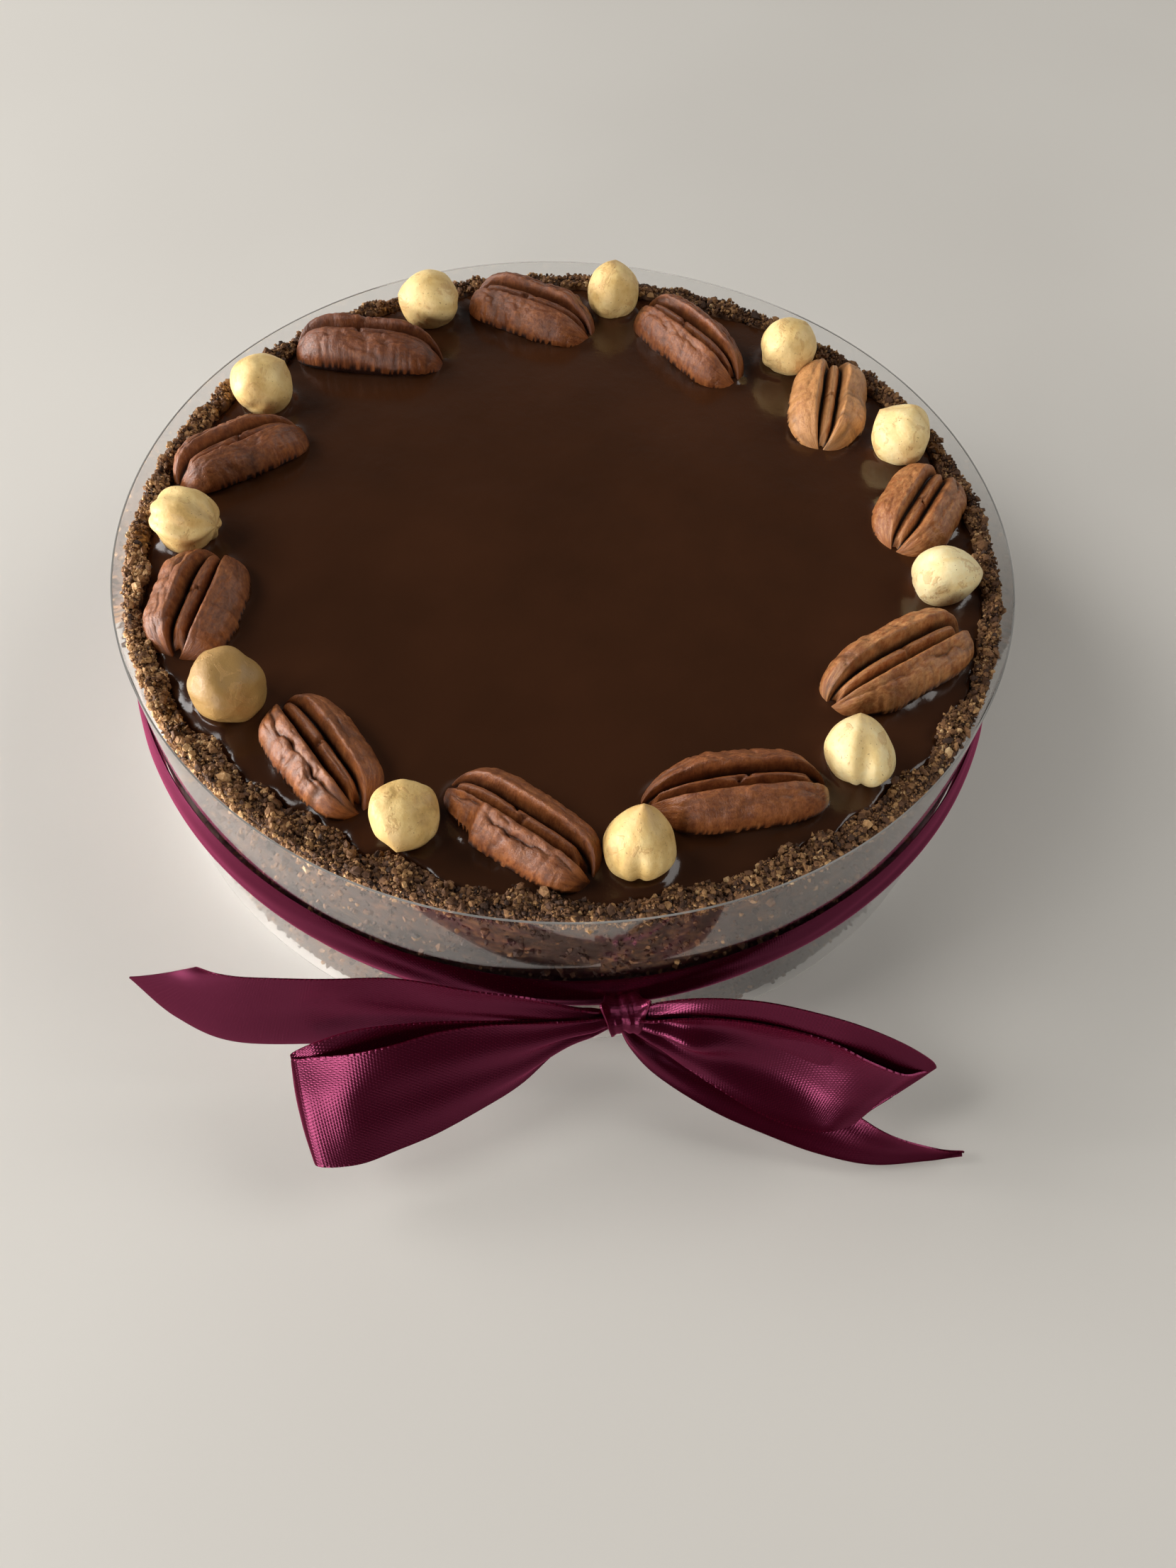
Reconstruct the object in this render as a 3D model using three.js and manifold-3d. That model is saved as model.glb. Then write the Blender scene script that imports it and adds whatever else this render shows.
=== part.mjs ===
// Praline cheesecake: a round cake in a chocolate biscuit crumb crust, topped with dark ganache and
// ringed with pecan halves and blanched hazelnuts. A clear film collar stands round it, tied with a
// satin ribbon. Millimetres, +Z up, the bow towards -Y, the origin under the collar's centre.
import * as THREE from 'three';
import { mergeVertices } from 'three/addons/utils/BufferGeometryUtils.js';
import Module from 'manifold-3d';

const wasm = await Module();
wasm.setup();

// Driving dimensions
const GAP = 0.3;                   // clearance between pieces that touch
const CAKE_RADIUS = 80.1;          // a cake from a 16 cm tin
const CAKE_SHIFT = -1.4;           // it stands a little forward inside its collar
const RIM_HEIGHT = 45.2;           // mean height of the crumb rim
const FOOT_CHAMFER = 1;
const CAKE_SECTORS = 160;          // steps round the cake, about as long as a crumb
const CRUMB_RELIEF = 0.8;          // how far crumbs stand out of the rim
const WALL_RELIEF = 0.3;           // and out of the side
const RIM_WIDTH = 2.7;             // rim where it is plain
const RIM_ROWS = 3;
const RIM_SHOULDER = 0.5;          // the rim's rounded outer corner
const RIM_FALL = 0.7;              // it falls a little towards the ganache
const WALL_TOP = 1.5;              // the last row of the side, below the rim
const GANACHE_LEVEL = 43.8;
const GANACHE_DEPTH = 5;
const MENISCUS = 0.5;              // how far the ganache climbs at its edge
const MENISCUS_WIDTH = 2;
const PECAN_SINK = 1;              // how deep the nuts sit in the ganache
const HAZELNUT_SINK = 1.8;
const PECAN_HEIGHT = 0.31;         // as a share of its length
const PECAN_STATIONS = [-0.97, -0.84, -0.6, -0.3, 0, 0.3, 0.6, 0.84, 0.97];
const PECAN_TOP = [1, 0.86, 0.58, 0.34, 0.2, 0, -0.2, -0.34, -0.58, -0.86, -1];
const PECAN_FOOT = 0.72;           // half the flat underside, as a share of half its width
const PECAN_BLUNT = 2.7;           // how square its ends are
const PECAN_NARROW = 0.1;          // it narrows towards its tip
const PECAN_EDGE = 0.34;           // height at its rim, as a share of the crown
const PECAN_TIP = 0.2;             // and at its ends
const PECAN_END_RISE = 0.25;       // share of its height that the crown keeps towards its ends
const GROOVE = { at: 0.2, width: 0.1, depth: 0.3 };
const RIDGE_CREASE = { width: 0.14, depth: 0.1 };
const HAZELNUT_SEGMENTS = 10;
const HAZELNUT_BANDS = 8;
const HAZELNUT_TIP = { height: 0.12, reach: 0.4 };
const HAZELNUT_FOOT = { depth: 0.1, reach: 0.6 };
const HAZELNUT_RIBS = { count: 5, depth: 0.02 };
const FILM_RADIUS = 82.8;          // outside of the collar
const FILM_THICKNESS = 0.4;
const FILM_HEIGHT = 46;
const FILM_SECTORS = 72;
const RIBBON_THICKNESS = 0.6;
const BAND_TOP = 27.7;             // upper edge of the ribbon band
const BAND_HALF_HEIGHT = 4.9;      // a 20 mm ribbon, folded in two
const BAND_SPREAD = 0.45;          // it lies wider on one side
const BAND_WIDEST = 215;           // degrees
const BAND_ROLL = 1.1;             // how far its front layer swells
const BAND_WAVES = { count: 5, share: 0.3 };
const BAND_DRAW = { reach: 0.22, share: 0.4 };
const KNOT_ANGLE = -80;            // place of the knot round the collar, degrees
const KNOT_RADIUS = 87.9;
const KNOT_LEVEL = 23.2;
const KNOT_SIZE = { length: 7.4, depth: 6.4, height: 7.4 };
const KNOT_STATIONS = [-0.9, -0.5, 0, 0.5, 0.9];
const KNOT_SEGMENTS = 12;
const KNOT_WAIST = 0.1;            // it is drawn in at the middle of its length
const KNOT_CREASES = { count: 4, depth: 0.06 };

// Finishes
const CRUMB = { color: 0x5f4128, roughness: 0.95 };
const CHOCOLATE = { color: 0x342116, roughness: 0.3 };
const PECAN_FLESH = { color: 0x8a4f30, roughness: 0.5 };
const KERNEL = { color: 0xe6d39a, roughness: 0.55 };
const CLEAR_FILM = { color: 0xe8e6e2, roughness: 0.08, transparent: true, opacity: 0.3 };
const SATIN = { color: 0x46081e, roughness: 0.4 };

// Lumps of a few crumbs round the rim: number of lumps, height, and where they start
const RIM_LUMPS = [
  { count: 23, height: 0.45, start: 0 },
  { count: 37, height: 0.35, start: 2 },
  { count: 61, height: 0.25, start: 4 },
];
const LUMPS_PLAIN = 0.7;           // share of the lumps where the rim is plain
const LUMPS_SWOLLEN = 0.25;        // and more for each millimetre of swell

// Places where the crumb rim is wider: angle and reach in degrees, added width
const RIM_SWELLS = [
  { at: 244, reach: 23, width: 3.4 },
  { at: 306, reach: 16, width: 1.2 },
  { at: 75, reach: 45, width: 0.5 },
];

// How much larger a nut's seat is than the nut, for each millimetre of clearance
const PECAN_SEAT = { length: 4, width: 2, height: 5 };
const HAZELNUT_SEAT = 2;

// Nuts: angle round the cake, distance from its centre, turn from the tangent, degrees and mm
const PECANS = [
  { at: 133.5, out: 65.2, length: 31, width: 14, turn: -44, lean: 4 },
  { at: 100.7, out: 65.4, length: 28.5, width: 15, turn: -33, lean: -4 },
  { at: 69, out: 61.8, length: 29.5, width: 14, turn: -25, lean: -6 },
  { at: 38.8, out: 65.2, length: 25.5, width: 16, turn: -47, lean: 2 },
  { at: 10, out: 68, length: 23.5, width: 16, turn: -38, lean: 3 },
  { at: 335.2, out: 65.6, length: 31, width: 14.5, turn: -29, lean: 3 },
  { at: 298.6, out: 64.5, length: 31, width: 14.2, turn: -17, lean: 2 },
  { at: 267, out: 66.4, length: 28.5, width: 14, turn: -29, lean: -4 },
  { at: 235.8, out: 65.8, length: 26, width: 15, turn: -16, lean: -5 },
  { at: 200.6, out: 68.4, length: 24.5, width: 16.5, turn: -26, lean: -3 },
  { at: 167.8, out: 66, length: 27, width: 14, turn: -38, lean: 3 },
];

// Size is the breadth and stretch the length over it; the tip points at yaw, tilted from upright, degrees
const HAZELNUTS = [
  { at: 118.5, out: 70.3, size: 12.8, stretch: 1, yaw: 200, tilt: 70 },
  { at: 85.8, out: 70, size: 11.8, stretch: 1.04, yaw: 90, tilt: 35 },
  { at: 52, out: 68.6, size: 12.6, stretch: 1, yaw: 60, tilt: 80 },
  { at: 24.5, out: 71, size: 12.2, stretch: 1, yaw: 150, tilt: 60 },
  { at: 353.8, out: 69.6, size: 11.2, stretch: 1.16, yaw: 10, tilt: 88 },
  { at: 316.4, out: 70.4, size: 11.6, stretch: 1.04, yaw: 100, tilt: 40 },
  { at: 282.8, out: 71.6, size: 11.8, stretch: 1.06, yaw: 95, tilt: 25 },
  { at: 252, out: 68.8, size: 11.2, stretch: 1.04, yaw: 262, tilt: 98 },
  { at: 219.6, out: 69.8, size: 13.2, stretch: 1.02, yaw: 300, tilt: 75 },
  { at: 185.6, out: 70.2, size: 12, stretch: 1.12, yaw: 345, tilt: 88 },
  { at: 154, out: 70.3, size: 12.2, stretch: 1, yaw: 30, tilt: 50 },
];

// Free ribbon: the upper and the lower edge at each station, from the knot outwards
const LEFT_TAIL = [
  [[13.9, -86.8, 24.8], [13.9, -86.7, 21.3]],
  [[8, -88.4, 28.2], [8, -88.6, 19.2]],
  [[-1.8, -89, 32.6], [-1.8, -89.9, 17.2]],
  [[-16.4, -89, 35.5], [-16.4, -91.6, 17.4]],
  [[-30, -89.5, 35.9], [-33, -92.5, 17.1]],
  [[-41.7, -90.3, 35.4], [-47.7, -93.9, 18]],
  [[-47.6, -89.9, 35], [-56.5, -92.3, 22.9]],
  [[-51.5, -88.7, 34.6], [-62.8, -89.3, 30.3]],
];
const LEFT_LOOP = [
  [[13.9, -88.2, 24.8], [13.9, -88.1, 21.3]],
  [[8.5, -89.9, 26], [6.5, -90.6, 17.5]],
  [[0.7, -91.2, 27], [-0.6, -96.6, 14]],
  [[-6, -92.1, 27.2], [-7.2, -101.2, 13]],
  [[-14, -93.6, 27], [-13.5, -105, 12.2]],
  [[-21.1, -96, 26.5], [-19.2, -107.7, 11.6]],
  [[-27.5, -97.6, 25.5], [-24.4, -110, 11.2]],
  [[-33.3, -98.1, 24.3], [-28.6, -110.9, 11]],
  [[-36, -98.3, 23.7], [-31.6, -111.1, 11]],
  [[-37, -97.7, 23.6], [-32.5, -110.5, 11]],
  [[-36, -97, 24.2], [-31.6, -109.6, 11.3]],
  [[-32.8, -96.1, 25.9], [-28.8, -108, 11.9]],
  [[-27, -94.2, 27], [-24.4, -105.3, 12.4]],
  [[-20, -92.8, 27], [-18.3, -102.1, 13.1]],
  [[-13, -91.8, 27], [-12.2, -98.9, 14]],
  [[-4, -90.8, 26.8], [-4.3, -94.6, 15.7]],
  [[4, -89.6, 26], [4.6, -90.4, 18.8]],
  [[13.9, -87.6, 24.8], [13.9, -87.5, 21.3]],
];
const RIGHT_LOOP = [
  [[16.4, -88.1, 24.8], [16.4, -88.1, 21.3]],
  [[20.2, -88.3, 26.4], [19.8, -89.3, 19]],
  [[26, -89, 27.2], [26.6, -92.6, 16]],
  [[36, -90, 27.4], [36.5, -96.8, 12.7]],
  [[46.9, -90.9, 27], [43.6, -99.3, 11.4]],
  [[54.5, -93, 26.2], [48, -100, 11.2]],
  [[60.2, -94, 24], [50.7, -99.9, 11.5]],
  [[63.6, -93.2, 23], [53.2, -99, 11.7]],
  [[65.8, -92.3, 22.6], [55, -98, 12]],
  [[65.2, -91.4, 24.2], [55, -96.8, 12.7]],
  [[60.1, -90.6, 28], [51.5, -95, 13.5]],
  [[52.8, -89.6, 31], [47.5, -93.1, 14.4]],
  [[46, -88.5, 32], [43.2, -91.4, 15.1]],
  [[36, -87.4, 32.3], [35.9, -89.4, 16.2]],
  [[26.2, -87, 30.4], [26.7, -87.7, 17.7]],
  [[16.4, -87, 24.8], [16.4, -86.9, 21.3]],
];
const RIGHT_TAIL = [
  [[15.9, -87.2, 23.3], [14.9, -87.7, 19.8]],
  [[19.8, -86.7, 19.8], [17.3, -89.7, 15.2]],
  [[26.7, -86.1, 15.8], [22.3, -92, 9.6]],
  [[35.7, -85.9, 11.9], [32.2, -95.8, 5.4]],
  [[45.6, -89.3, 9.8], [41.7, -98.8, 3.9]],
  [[54.7, -95.1, 9], [50.3, -101, 3]],
  [[61.7, -98.7, 7.9], [59.8, -102.1, 2.5]],
  [[69.9, -99.7, 5.5], [68.9, -101.1, 2.5]],
  [[75.3, -99.5, 4.1], [75.1, -99.9, 3.3]],
];
const STRIP_COLUMNS = 2;           // facets across a free strip
const STRIP_STEPS = 2;             // facets between two stations

const radians = THREE.MathUtils.degToRad;
const { sin, cos, sqrt, exp, abs, PI } = Math;

// Seeded random numbers from -1 to 1
let seed = 20;
function jitter() {
  seed = (seed * 16807) % 2147483647;
  return (seed / 2147483647) * 2 - 1;
}

function meshGeometry(positions, index) {
  const geometry = new THREE.BufferGeometry();
  geometry.setAttribute('position', new THREE.BufferAttribute(Float32Array.from(positions), 3));
  geometry.setIndex(new THREE.BufferAttribute(Uint32Array.from(index), 1));
  return geometry;
}

// Closed skin over rings of points that turn counter-clockwise about their axis, with a pole at each end
function skinOverRings(rings, firstPole, lastPole) {
  const count = rings[0].length;
  const lastIndex = 1 + rings.length * count;
  const at = (ring, i) => 1 + ring * count + (i % count);
  const index = [];
  for (let i = 0; i < count; i += 1) {
    index.push(0, at(0, i + 1), at(0, i));
    for (let ring = 0; ring + 1 < rings.length; ring += 1) {
      index.push(at(ring, i), at(ring, i + 1), at(ring + 1, i + 1));
      index.push(at(ring, i), at(ring + 1, i + 1), at(ring + 1, i));
    }
    index.push(lastIndex, at(rings.length - 1, i), at(rings.length - 1, i + 1));
  }
  return meshGeometry([firstPole, ...rings.flat(), lastPole].flat(), index);
}

// Closed skin along sections that run round a closed loop
function skinRoundLoop(sections) {
  const count = sections[0].length;
  const at = (section, k) => (section % sections.length) * count + (k % count);
  const index = [];
  for (let s = 0; s < sections.length; s += 1) {
    for (let k = 0; k < count; k += 1) {
      index.push(at(s, k), at(s + 1, k), at(s + 1, k + 1));
      index.push(at(s, k), at(s + 1, k + 1), at(s, k + 1));
    }
  }
  return meshGeometry(sections.flat(2), index);
}

function toSolid(geometry) {
  const merged = mergeVertices(geometry, 1e-4);
  return new wasm.Manifold(new wasm.Mesh({
    numProp: 3,
    vertProperties: merged.attributes.position.array,
    triVerts: Uint32Array.from(merged.index.array),
  }));
}

// The largest body of a solid, without loose scraps
function toGeometry(solid) {
  const bodies = solid.decompose();
  bodies.sort((a, b) => b.volume() - a.volume());
  const { vertProperties, triVerts } = bodies[0].getMesh();
  return meshGeometry(vertProperties, triVerts);
}

function piece(name, geometry, finish) {
  const mesh = new THREE.Mesh(geometry, new THREE.MeshStandardMaterial({ metalness: 0, ...finish }));
  mesh.name = name;
  return mesh;
}

function around(angle, radius, z) {
  return [radius * cos(angle), radius * sin(angle), z];
}

// Width of the crumb rim: its swells, and lumps of a few crumbs
function rimWidth(angle) {
  const swell = RIM_SWELLS.reduce((sum, { at, reach, width }) => {
    const away = radians(at) - angle;
    const turn = Math.atan2(sin(away), cos(away)) / radians(reach);
    return sum + width * exp(-turn * turn);
  }, 0);
  const lumps = RIM_LUMPS.reduce(
    (sum, { count, height, start }) => sum + height * sin(count * angle + start),
    0,
  );
  return RIM_WIDTH + swell + lumps * (LUMPS_PLAIN + LUMPS_SWOLLEN * swell);
}

function ringOfPoints(place) {
  return Array.from({ length: CAKE_SECTORS }, (_, i) => {
    const angle = (2 * PI * i) / CAKE_SECTORS;
    const { radius, z } = place(angle);
    const [x, y] = around(angle, radius, z);
    return [x, y + CAKE_SHIFT, z];
  });
}

// Crumb crust: a craggy side and rim round a shallow recess
function crustGeometry() {
  const floor = GANACHE_LEVEL - GANACHE_DEPTH;
  const wall = (z) => () => ({ radius: CAKE_RADIUS + WALL_RELIEF * jitter(), z });
  const rimRow = (share) => (angle) => ({
    radius: CAKE_RADIUS - RIM_SHOULDER - share * (rimWidth(angle) - RIM_SHOULDER),
    z: RIM_HEIGHT - RIM_FALL * share + CRUMB_RELIEF * jitter(),
  });
  const recess = (z) => (angle) => ({ radius: CAKE_RADIUS - rimWidth(angle), z });
  const rings = [
    ringOfPoints(() => ({ radius: CAKE_RADIUS - FOOT_CHAMFER, z: 0 })),
    ringOfPoints(wall(FOOT_CHAMFER)),
    ringOfPoints(wall(RIM_HEIGHT / 3)),
    ringOfPoints(wall((2 * RIM_HEIGHT) / 3)),
    ringOfPoints(wall(RIM_HEIGHT - WALL_TOP)),
  ];
  for (let row = 0; row < RIM_ROWS; row += 1) {
    rings.push(ringOfPoints(rimRow(row / (RIM_ROWS - 1))));
  }
  rings.push(ringOfPoints(recess(floor)));
  return skinOverRings(rings, [0, CAKE_SHIFT, 0], [0, CAKE_SHIFT, floor]);
}

// Ganache: fills the recess to its level and climbs a little at the edge
function ganacheGeometry() {
  const edge = (inset, z) => (angle) => ({ radius: CAKE_RADIUS - rimWidth(angle) - GAP - inset, z });
  const underside = GANACHE_LEVEL - GANACHE_DEPTH + GAP;
  const rings = [
    ringOfPoints(edge(0, underside)),
    ringOfPoints(edge(0, GANACHE_LEVEL + MENISCUS)),
    ringOfPoints(edge(MENISCUS_WIDTH, GANACHE_LEVEL)),
  ];
  return skinOverRings(rings, [0, CAKE_SHIFT, underside], [0, CAKE_SHIFT, GANACHE_LEVEL]);
}

// Pecan half, flat side down: two lobes with a ridge between two grooves, along X
function pecanGeometry(length, width, height) {
  const rings = PECAN_STATIONS.map((along) => {
    const taper = sqrt(1 - abs(along) ** PECAN_BLUNT);
    const reach = (width / 2) * taper * (1 - PECAN_NARROW * along);
    const rise = height * THREE.MathUtils.lerp(PECAN_END_RISE, 1, taper) * sqrt(taper);
    const top = PECAN_TOP.map((v) => {
      const groove = GROOVE.depth * exp(-(((abs(v) - GROOVE.at) / GROOVE.width) ** 2));
      const crease = RIDGE_CREASE.depth * exp(-((v / RIDGE_CREASE.width) ** 2));
      const crown = THREE.MathUtils.lerp(PECAN_EDGE, 1, sqrt(1 - v * v)) - groove - crease;
      return [(along * length) / 2, v * reach, rise * crown];
    });
    const foot = [-PECAN_FOOT, PECAN_FOOT].map((v) => [(along * length) / 2, v * reach, 0]);
    return [...top, ...foot];
  });
  const tip = (end) => [(end * length) / 2, 0, height * PECAN_TIP];
  return skinOverRings(rings, tip(-1), tip(1));
}

// Blanched hazelnut: a rounded kernel with faint ribs, a flatter foot and a tip along +Z
function hazelnutGeometry(size, stretch) {
  const reach = (polar) => {
    const tip = HAZELNUT_TIP.height * exp(-((polar / HAZELNUT_TIP.reach) ** 2));
    const foot = HAZELNUT_FOOT.depth * exp(-(((PI - polar) / HAZELNUT_FOOT.reach) ** 2));
    return (size / 2) * (1 + tip - foot);
  };
  const rings = Array.from({ length: HAZELNUT_BANDS - 1 }, (_, band) => {
    const polar = PI * (1 - (band + 1) / HAZELNUT_BANDS);
    return Array.from({ length: HAZELNUT_SEGMENTS }, (__, i) => {
      const angle = (2 * PI * i) / HAZELNUT_SEGMENTS;
      const rib = 1 + HAZELNUT_RIBS.depth * cos(HAZELNUT_RIBS.count * angle);
      return around(angle, reach(polar) * sin(polar) * rib, stretch * reach(polar) * cos(polar));
    });
  });
  return skinOverRings(rings, [0, 0, -stretch * reach(PI)], [0, 0, stretch * reach(0)]);
}

function placedPecan({ at, out, length, width, turn, lean }, margin, name) {
  const height = length * PECAN_HEIGHT;
  const geometry = pecanGeometry(
    length + PECAN_SEAT.length * margin,
    width + PECAN_SEAT.width * margin,
    height + PECAN_SEAT.height * margin,
  );
  const mesh = piece(name, geometry, PECAN_FLESH);
  const [x, y] = around(radians(at), out, 0);
  mesh.position.set(x, y, GANACHE_LEVEL - PECAN_SINK - margin);
  mesh.rotation.set(radians(lean), 0, radians(at + 90 + turn), 'ZYX');
  mesh.updateMatrixWorld();
  return mesh;
}

function placedHazelnut({ at, out, size, stretch, yaw, tilt }, margin, name) {
  const geometry = hazelnutGeometry(size + HAZELNUT_SEAT * margin, stretch);
  const mesh = piece(name, geometry, KERNEL);
  const [x, y] = around(radians(at), out, 0);
  mesh.position.set(x, y, GANACHE_LEVEL - HAZELNUT_SINK + size / 2);
  mesh.rotation.set(0, radians(tilt), radians(yaw), 'ZYX');
  mesh.updateMatrixWorld();
  return mesh;
}

function nutName(kind, i) {
  return `${kind}_${String(i + 1).padStart(2, '0')}`;
}

function allNuts(margin) {
  return [
    ...PECANS.map((nut, i) => placedPecan(nut, margin, nutName('pecan', i))),
    ...HAZELNUTS.map((nut, i) => placedHazelnut(nut, margin, nutName('hazelnut', i))),
  ];
}

// Solid with the seats of all the nuts pressed into it
function withNutSeats(geometry) {
  const seats = allNuts(GAP).map((nut) => toSolid(nut.geometry.applyMatrix4(nut.matrixWorld)));
  return toGeometry(seats.reduce((solid, seat) => solid.subtract(seat), toSolid(geometry)));
}

// Film collar: a thin open ring
function collarGeometry() {
  const inner = FILM_RADIUS - FILM_THICKNESS;
  const profile = [
    new THREE.Vector2(inner, 0),
    new THREE.Vector2(FILM_RADIUS, 0),
    new THREE.Vector2(FILM_RADIUS, FILM_HEIGHT),
    new THREE.Vector2(inner, FILM_HEIGHT),
    new THREE.Vector2(inner, 0),
  ];
  return new THREE.LatheGeometry(profile, FILM_SECTORS);
}

// Ribbon band round the collar: flush at its upper fold, swelling below, and drawn together at the knot
function bandGeometry() {
  const inner = FILM_RADIUS + GAP;
  const outer = inner + RIBBON_THICKNESS;
  const sections = Array.from({ length: FILM_SECTORS }, (_, s) => {
    const angle = (2 * PI * s) / FILM_SECTORS;
    const away = Math.atan2(sin(angle - radians(KNOT_ANGLE)), cos(angle - radians(KNOT_ANGLE)));
    const drawn = exp(-((away / BAND_DRAW.reach) ** 2));
    const spread = BAND_HALF_HEIGHT + BAND_SPREAD * cos(angle - radians(BAND_WIDEST));
    const half = spread * (1 - BAND_DRAW.share * drawn);
    const level = BAND_TOP - spread + (KNOT_LEVEL - BAND_TOP + spread) * drawn;
    const swell = BAND_ROLL * (1 + BAND_WAVES.share * sin(BAND_WAVES.count * angle)) + drawn;
    return [
      around(angle, inner, level - half),
      around(angle, outer, level - half),
      around(angle, outer + swell, level - half / 2),
      around(angle, outer + swell, level + half / 4),
      around(angle, outer, level + half),
      around(angle, inner, level + half),
    ];
  });
  return skinRoundLoop(sections);
}

// Strip of ribbon between two smooth edges
function stripGeometry(stations) {
  const edge = (side) => new THREE.CatmullRomCurve3(
    stations.map((station) => new THREE.Vector3(...station[side])),
  );
  const upper = edge(0);
  const lower = edge(1);
  const steps = (stations.length - 1) * STRIP_STEPS;
  const middle = (step, column) => {
    const along = THREE.MathUtils.clamp(step / steps, 0, 1);
    return upper.getPoint(along).lerp(lower.getPoint(along), column / STRIP_COLUMNS);
  };
  const face = (side) => (step, column) => {
    const run = middle(step + 0.5, column).sub(middle(step - 0.5, column));
    const across = middle(step, STRIP_COLUMNS).sub(middle(step, 0));
    const normal = run.cross(across).normalize();
    return middle(step, column).addScaledVector(normal, (side * RIBBON_THICKNESS) / 2).toArray();
  };
  const front = face(-1);
  const back = face(1);
  const rings = Array.from({ length: steps + 1 }, (_, step) => {
    const columns = Array.from({ length: STRIP_COLUMNS + 1 }, (__, column) => column);
    return [
      ...columns.map((column) => front(step, column)),
      ...columns.reverse().map((column) => back(step, column)),
    ];
  });
  const endPole = (step) => middle(step, STRIP_COLUMNS / 2).toArray();
  return skinOverRings(rings, endPole(0), endPole(steps));
}

// Knot: a short barrel of gathered ribbon with flared ends
function knotGeometry() {
  const { length, depth, height } = KNOT_SIZE;
  const rings = KNOT_STATIONS.map((along) => {
    const swell = 1 - KNOT_WAIST * cos(along * PI);
    return Array.from({ length: KNOT_SEGMENTS }, (_, i) => {
      const angle = (2 * PI * i) / KNOT_SEGMENTS;
      const girth = (swell * (1 + KNOT_CREASES.depth * cos(KNOT_CREASES.count * angle))) / 2;
      return [(along * length) / 2, cos(angle) * girth * depth, sin(angle) * girth * height];
    });
  });
  const geometry = skinOverRings(rings, [-length / 2, 0, 0], [length / 2, 0, 0]);
  const [x, y] = around(radians(KNOT_ANGLE), KNOT_RADIUS, 0);
  geometry.rotateZ(radians(KNOT_ANGLE + 90));
  geometry.translate(x, y, KNOT_LEVEL);
  return geometry;
}

// The whole ribbon, one length from tail to tail
function ribbonGeometry() {
  const strips = [LEFT_TAIL, LEFT_LOOP, RIGHT_LOOP, RIGHT_TAIL].map(stripGeometry);
  const solids = [bandGeometry(), knotGeometry(), ...strips].map(toSolid);
  return toGeometry(solids.reduce((ribbon, strip) => ribbon.add(strip)));
}

const cake = new THREE.Group();
cake.add(piece('crust_body', withNutSeats(crustGeometry()), CRUMB));
cake.add(piece('ganache', withNutSeats(ganacheGeometry()), CHOCOLATE));
cake.add(...allNuts(0));
const collar = piece('collar', collarGeometry(), CLEAR_FILM);
collar.rotation.x = PI / 2;
cake.add(collar);
cake.add(piece('ribbon', ribbonGeometry(), SATIN));

export default cake;
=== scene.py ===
import itertools
import math

import bpy
import numpy as np
from mathutils import Matrix


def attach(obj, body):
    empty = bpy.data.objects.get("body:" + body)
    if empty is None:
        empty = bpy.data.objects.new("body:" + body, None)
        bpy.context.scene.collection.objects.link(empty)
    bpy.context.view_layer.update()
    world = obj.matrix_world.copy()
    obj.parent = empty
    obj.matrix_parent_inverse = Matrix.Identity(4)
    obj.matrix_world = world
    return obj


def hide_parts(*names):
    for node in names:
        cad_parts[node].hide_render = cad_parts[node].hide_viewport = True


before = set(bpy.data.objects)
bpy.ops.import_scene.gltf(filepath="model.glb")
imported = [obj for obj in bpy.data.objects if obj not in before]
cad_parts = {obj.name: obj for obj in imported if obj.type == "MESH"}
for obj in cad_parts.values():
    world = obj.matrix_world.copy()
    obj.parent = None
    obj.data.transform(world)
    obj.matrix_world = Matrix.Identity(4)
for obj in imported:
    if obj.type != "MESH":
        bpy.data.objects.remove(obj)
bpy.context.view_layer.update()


# Biscuit crust: baked cheesecake in a jacket of crushed biscuit and butter, pressed by hand against a
# ring. The wall is closely packed crumb, and the rim is left loose and uneven, wider in places,
# with hollows between the clumps. Shade is painted darker into the hollows and over the wall.
MM = 0.001
TURN = 2 * math.pi
SEAM_GAP = 1e-6
CRUST_RADIUS = 80.1
CRUST_SHIFT = -1.4
CRUST_STEPS = 900
RIM_HEIGHT = 45.2
RIM_FALL = 0.7
RIM_SHOULDER = 0.5
RIM_WIDTH = 2.7
RIM_ROWS = 9
# Where the crumbs were heaped: the middle of the stretch, its reach, both in degrees, and the added width
RIM_SWELLS = ((244, 23, 3.4), (306, 16, 1.2), (75, 45, 0.5))
# Lumps along the rim: how many go round, where they start, and how far they stand out
RIM_LUMPS = ((23, 0, 0.45), (37, 2, 0.35), (61, 4, 0.25))
# Ragged edge of the rim: how close together, how far in and out, and the seed
RIM_RAGS = ((12, 0.8, 4), (26, 0.45, 5), (61, 0.3, 6))
FOOT_CHAMFER = 1.0
WALL_ROW = 0.5
RECESS_HEIGHT = 41.5
GRAIN_SIZE = 1.05
GRAIN_SEED = 11
GRAIN_MIDDLE = 0.5
GRAIN_RELIEF = 0.75
CLUMP_SIZE = 4.2
CLUMP_SEED = 23
CLUMP_MIDDLE = 0.46
CLUMP_RELIEF = 3.1
WALL_CRAGS = 0.55
WALL_CLUMPS = 0.17
# Painted shade over the whole wall
WALL_SHADE = 0.3


def hashed(cells, seed):
    """Random numbers from 0 to 1, always the same for the same whole-numbered cell and seed."""
    mix = cells[..., 0] * 374761393 + cells[..., 1] * 668265263 + cells[..., 2] * 362437 + seed * 974711
    mix = ((mix ^ (mix >> 13)) * 1274126177) & 0xFFFFFFFF
    return ((mix ^ (mix >> 16)) & 0xFFFF) / 65535.0


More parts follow.
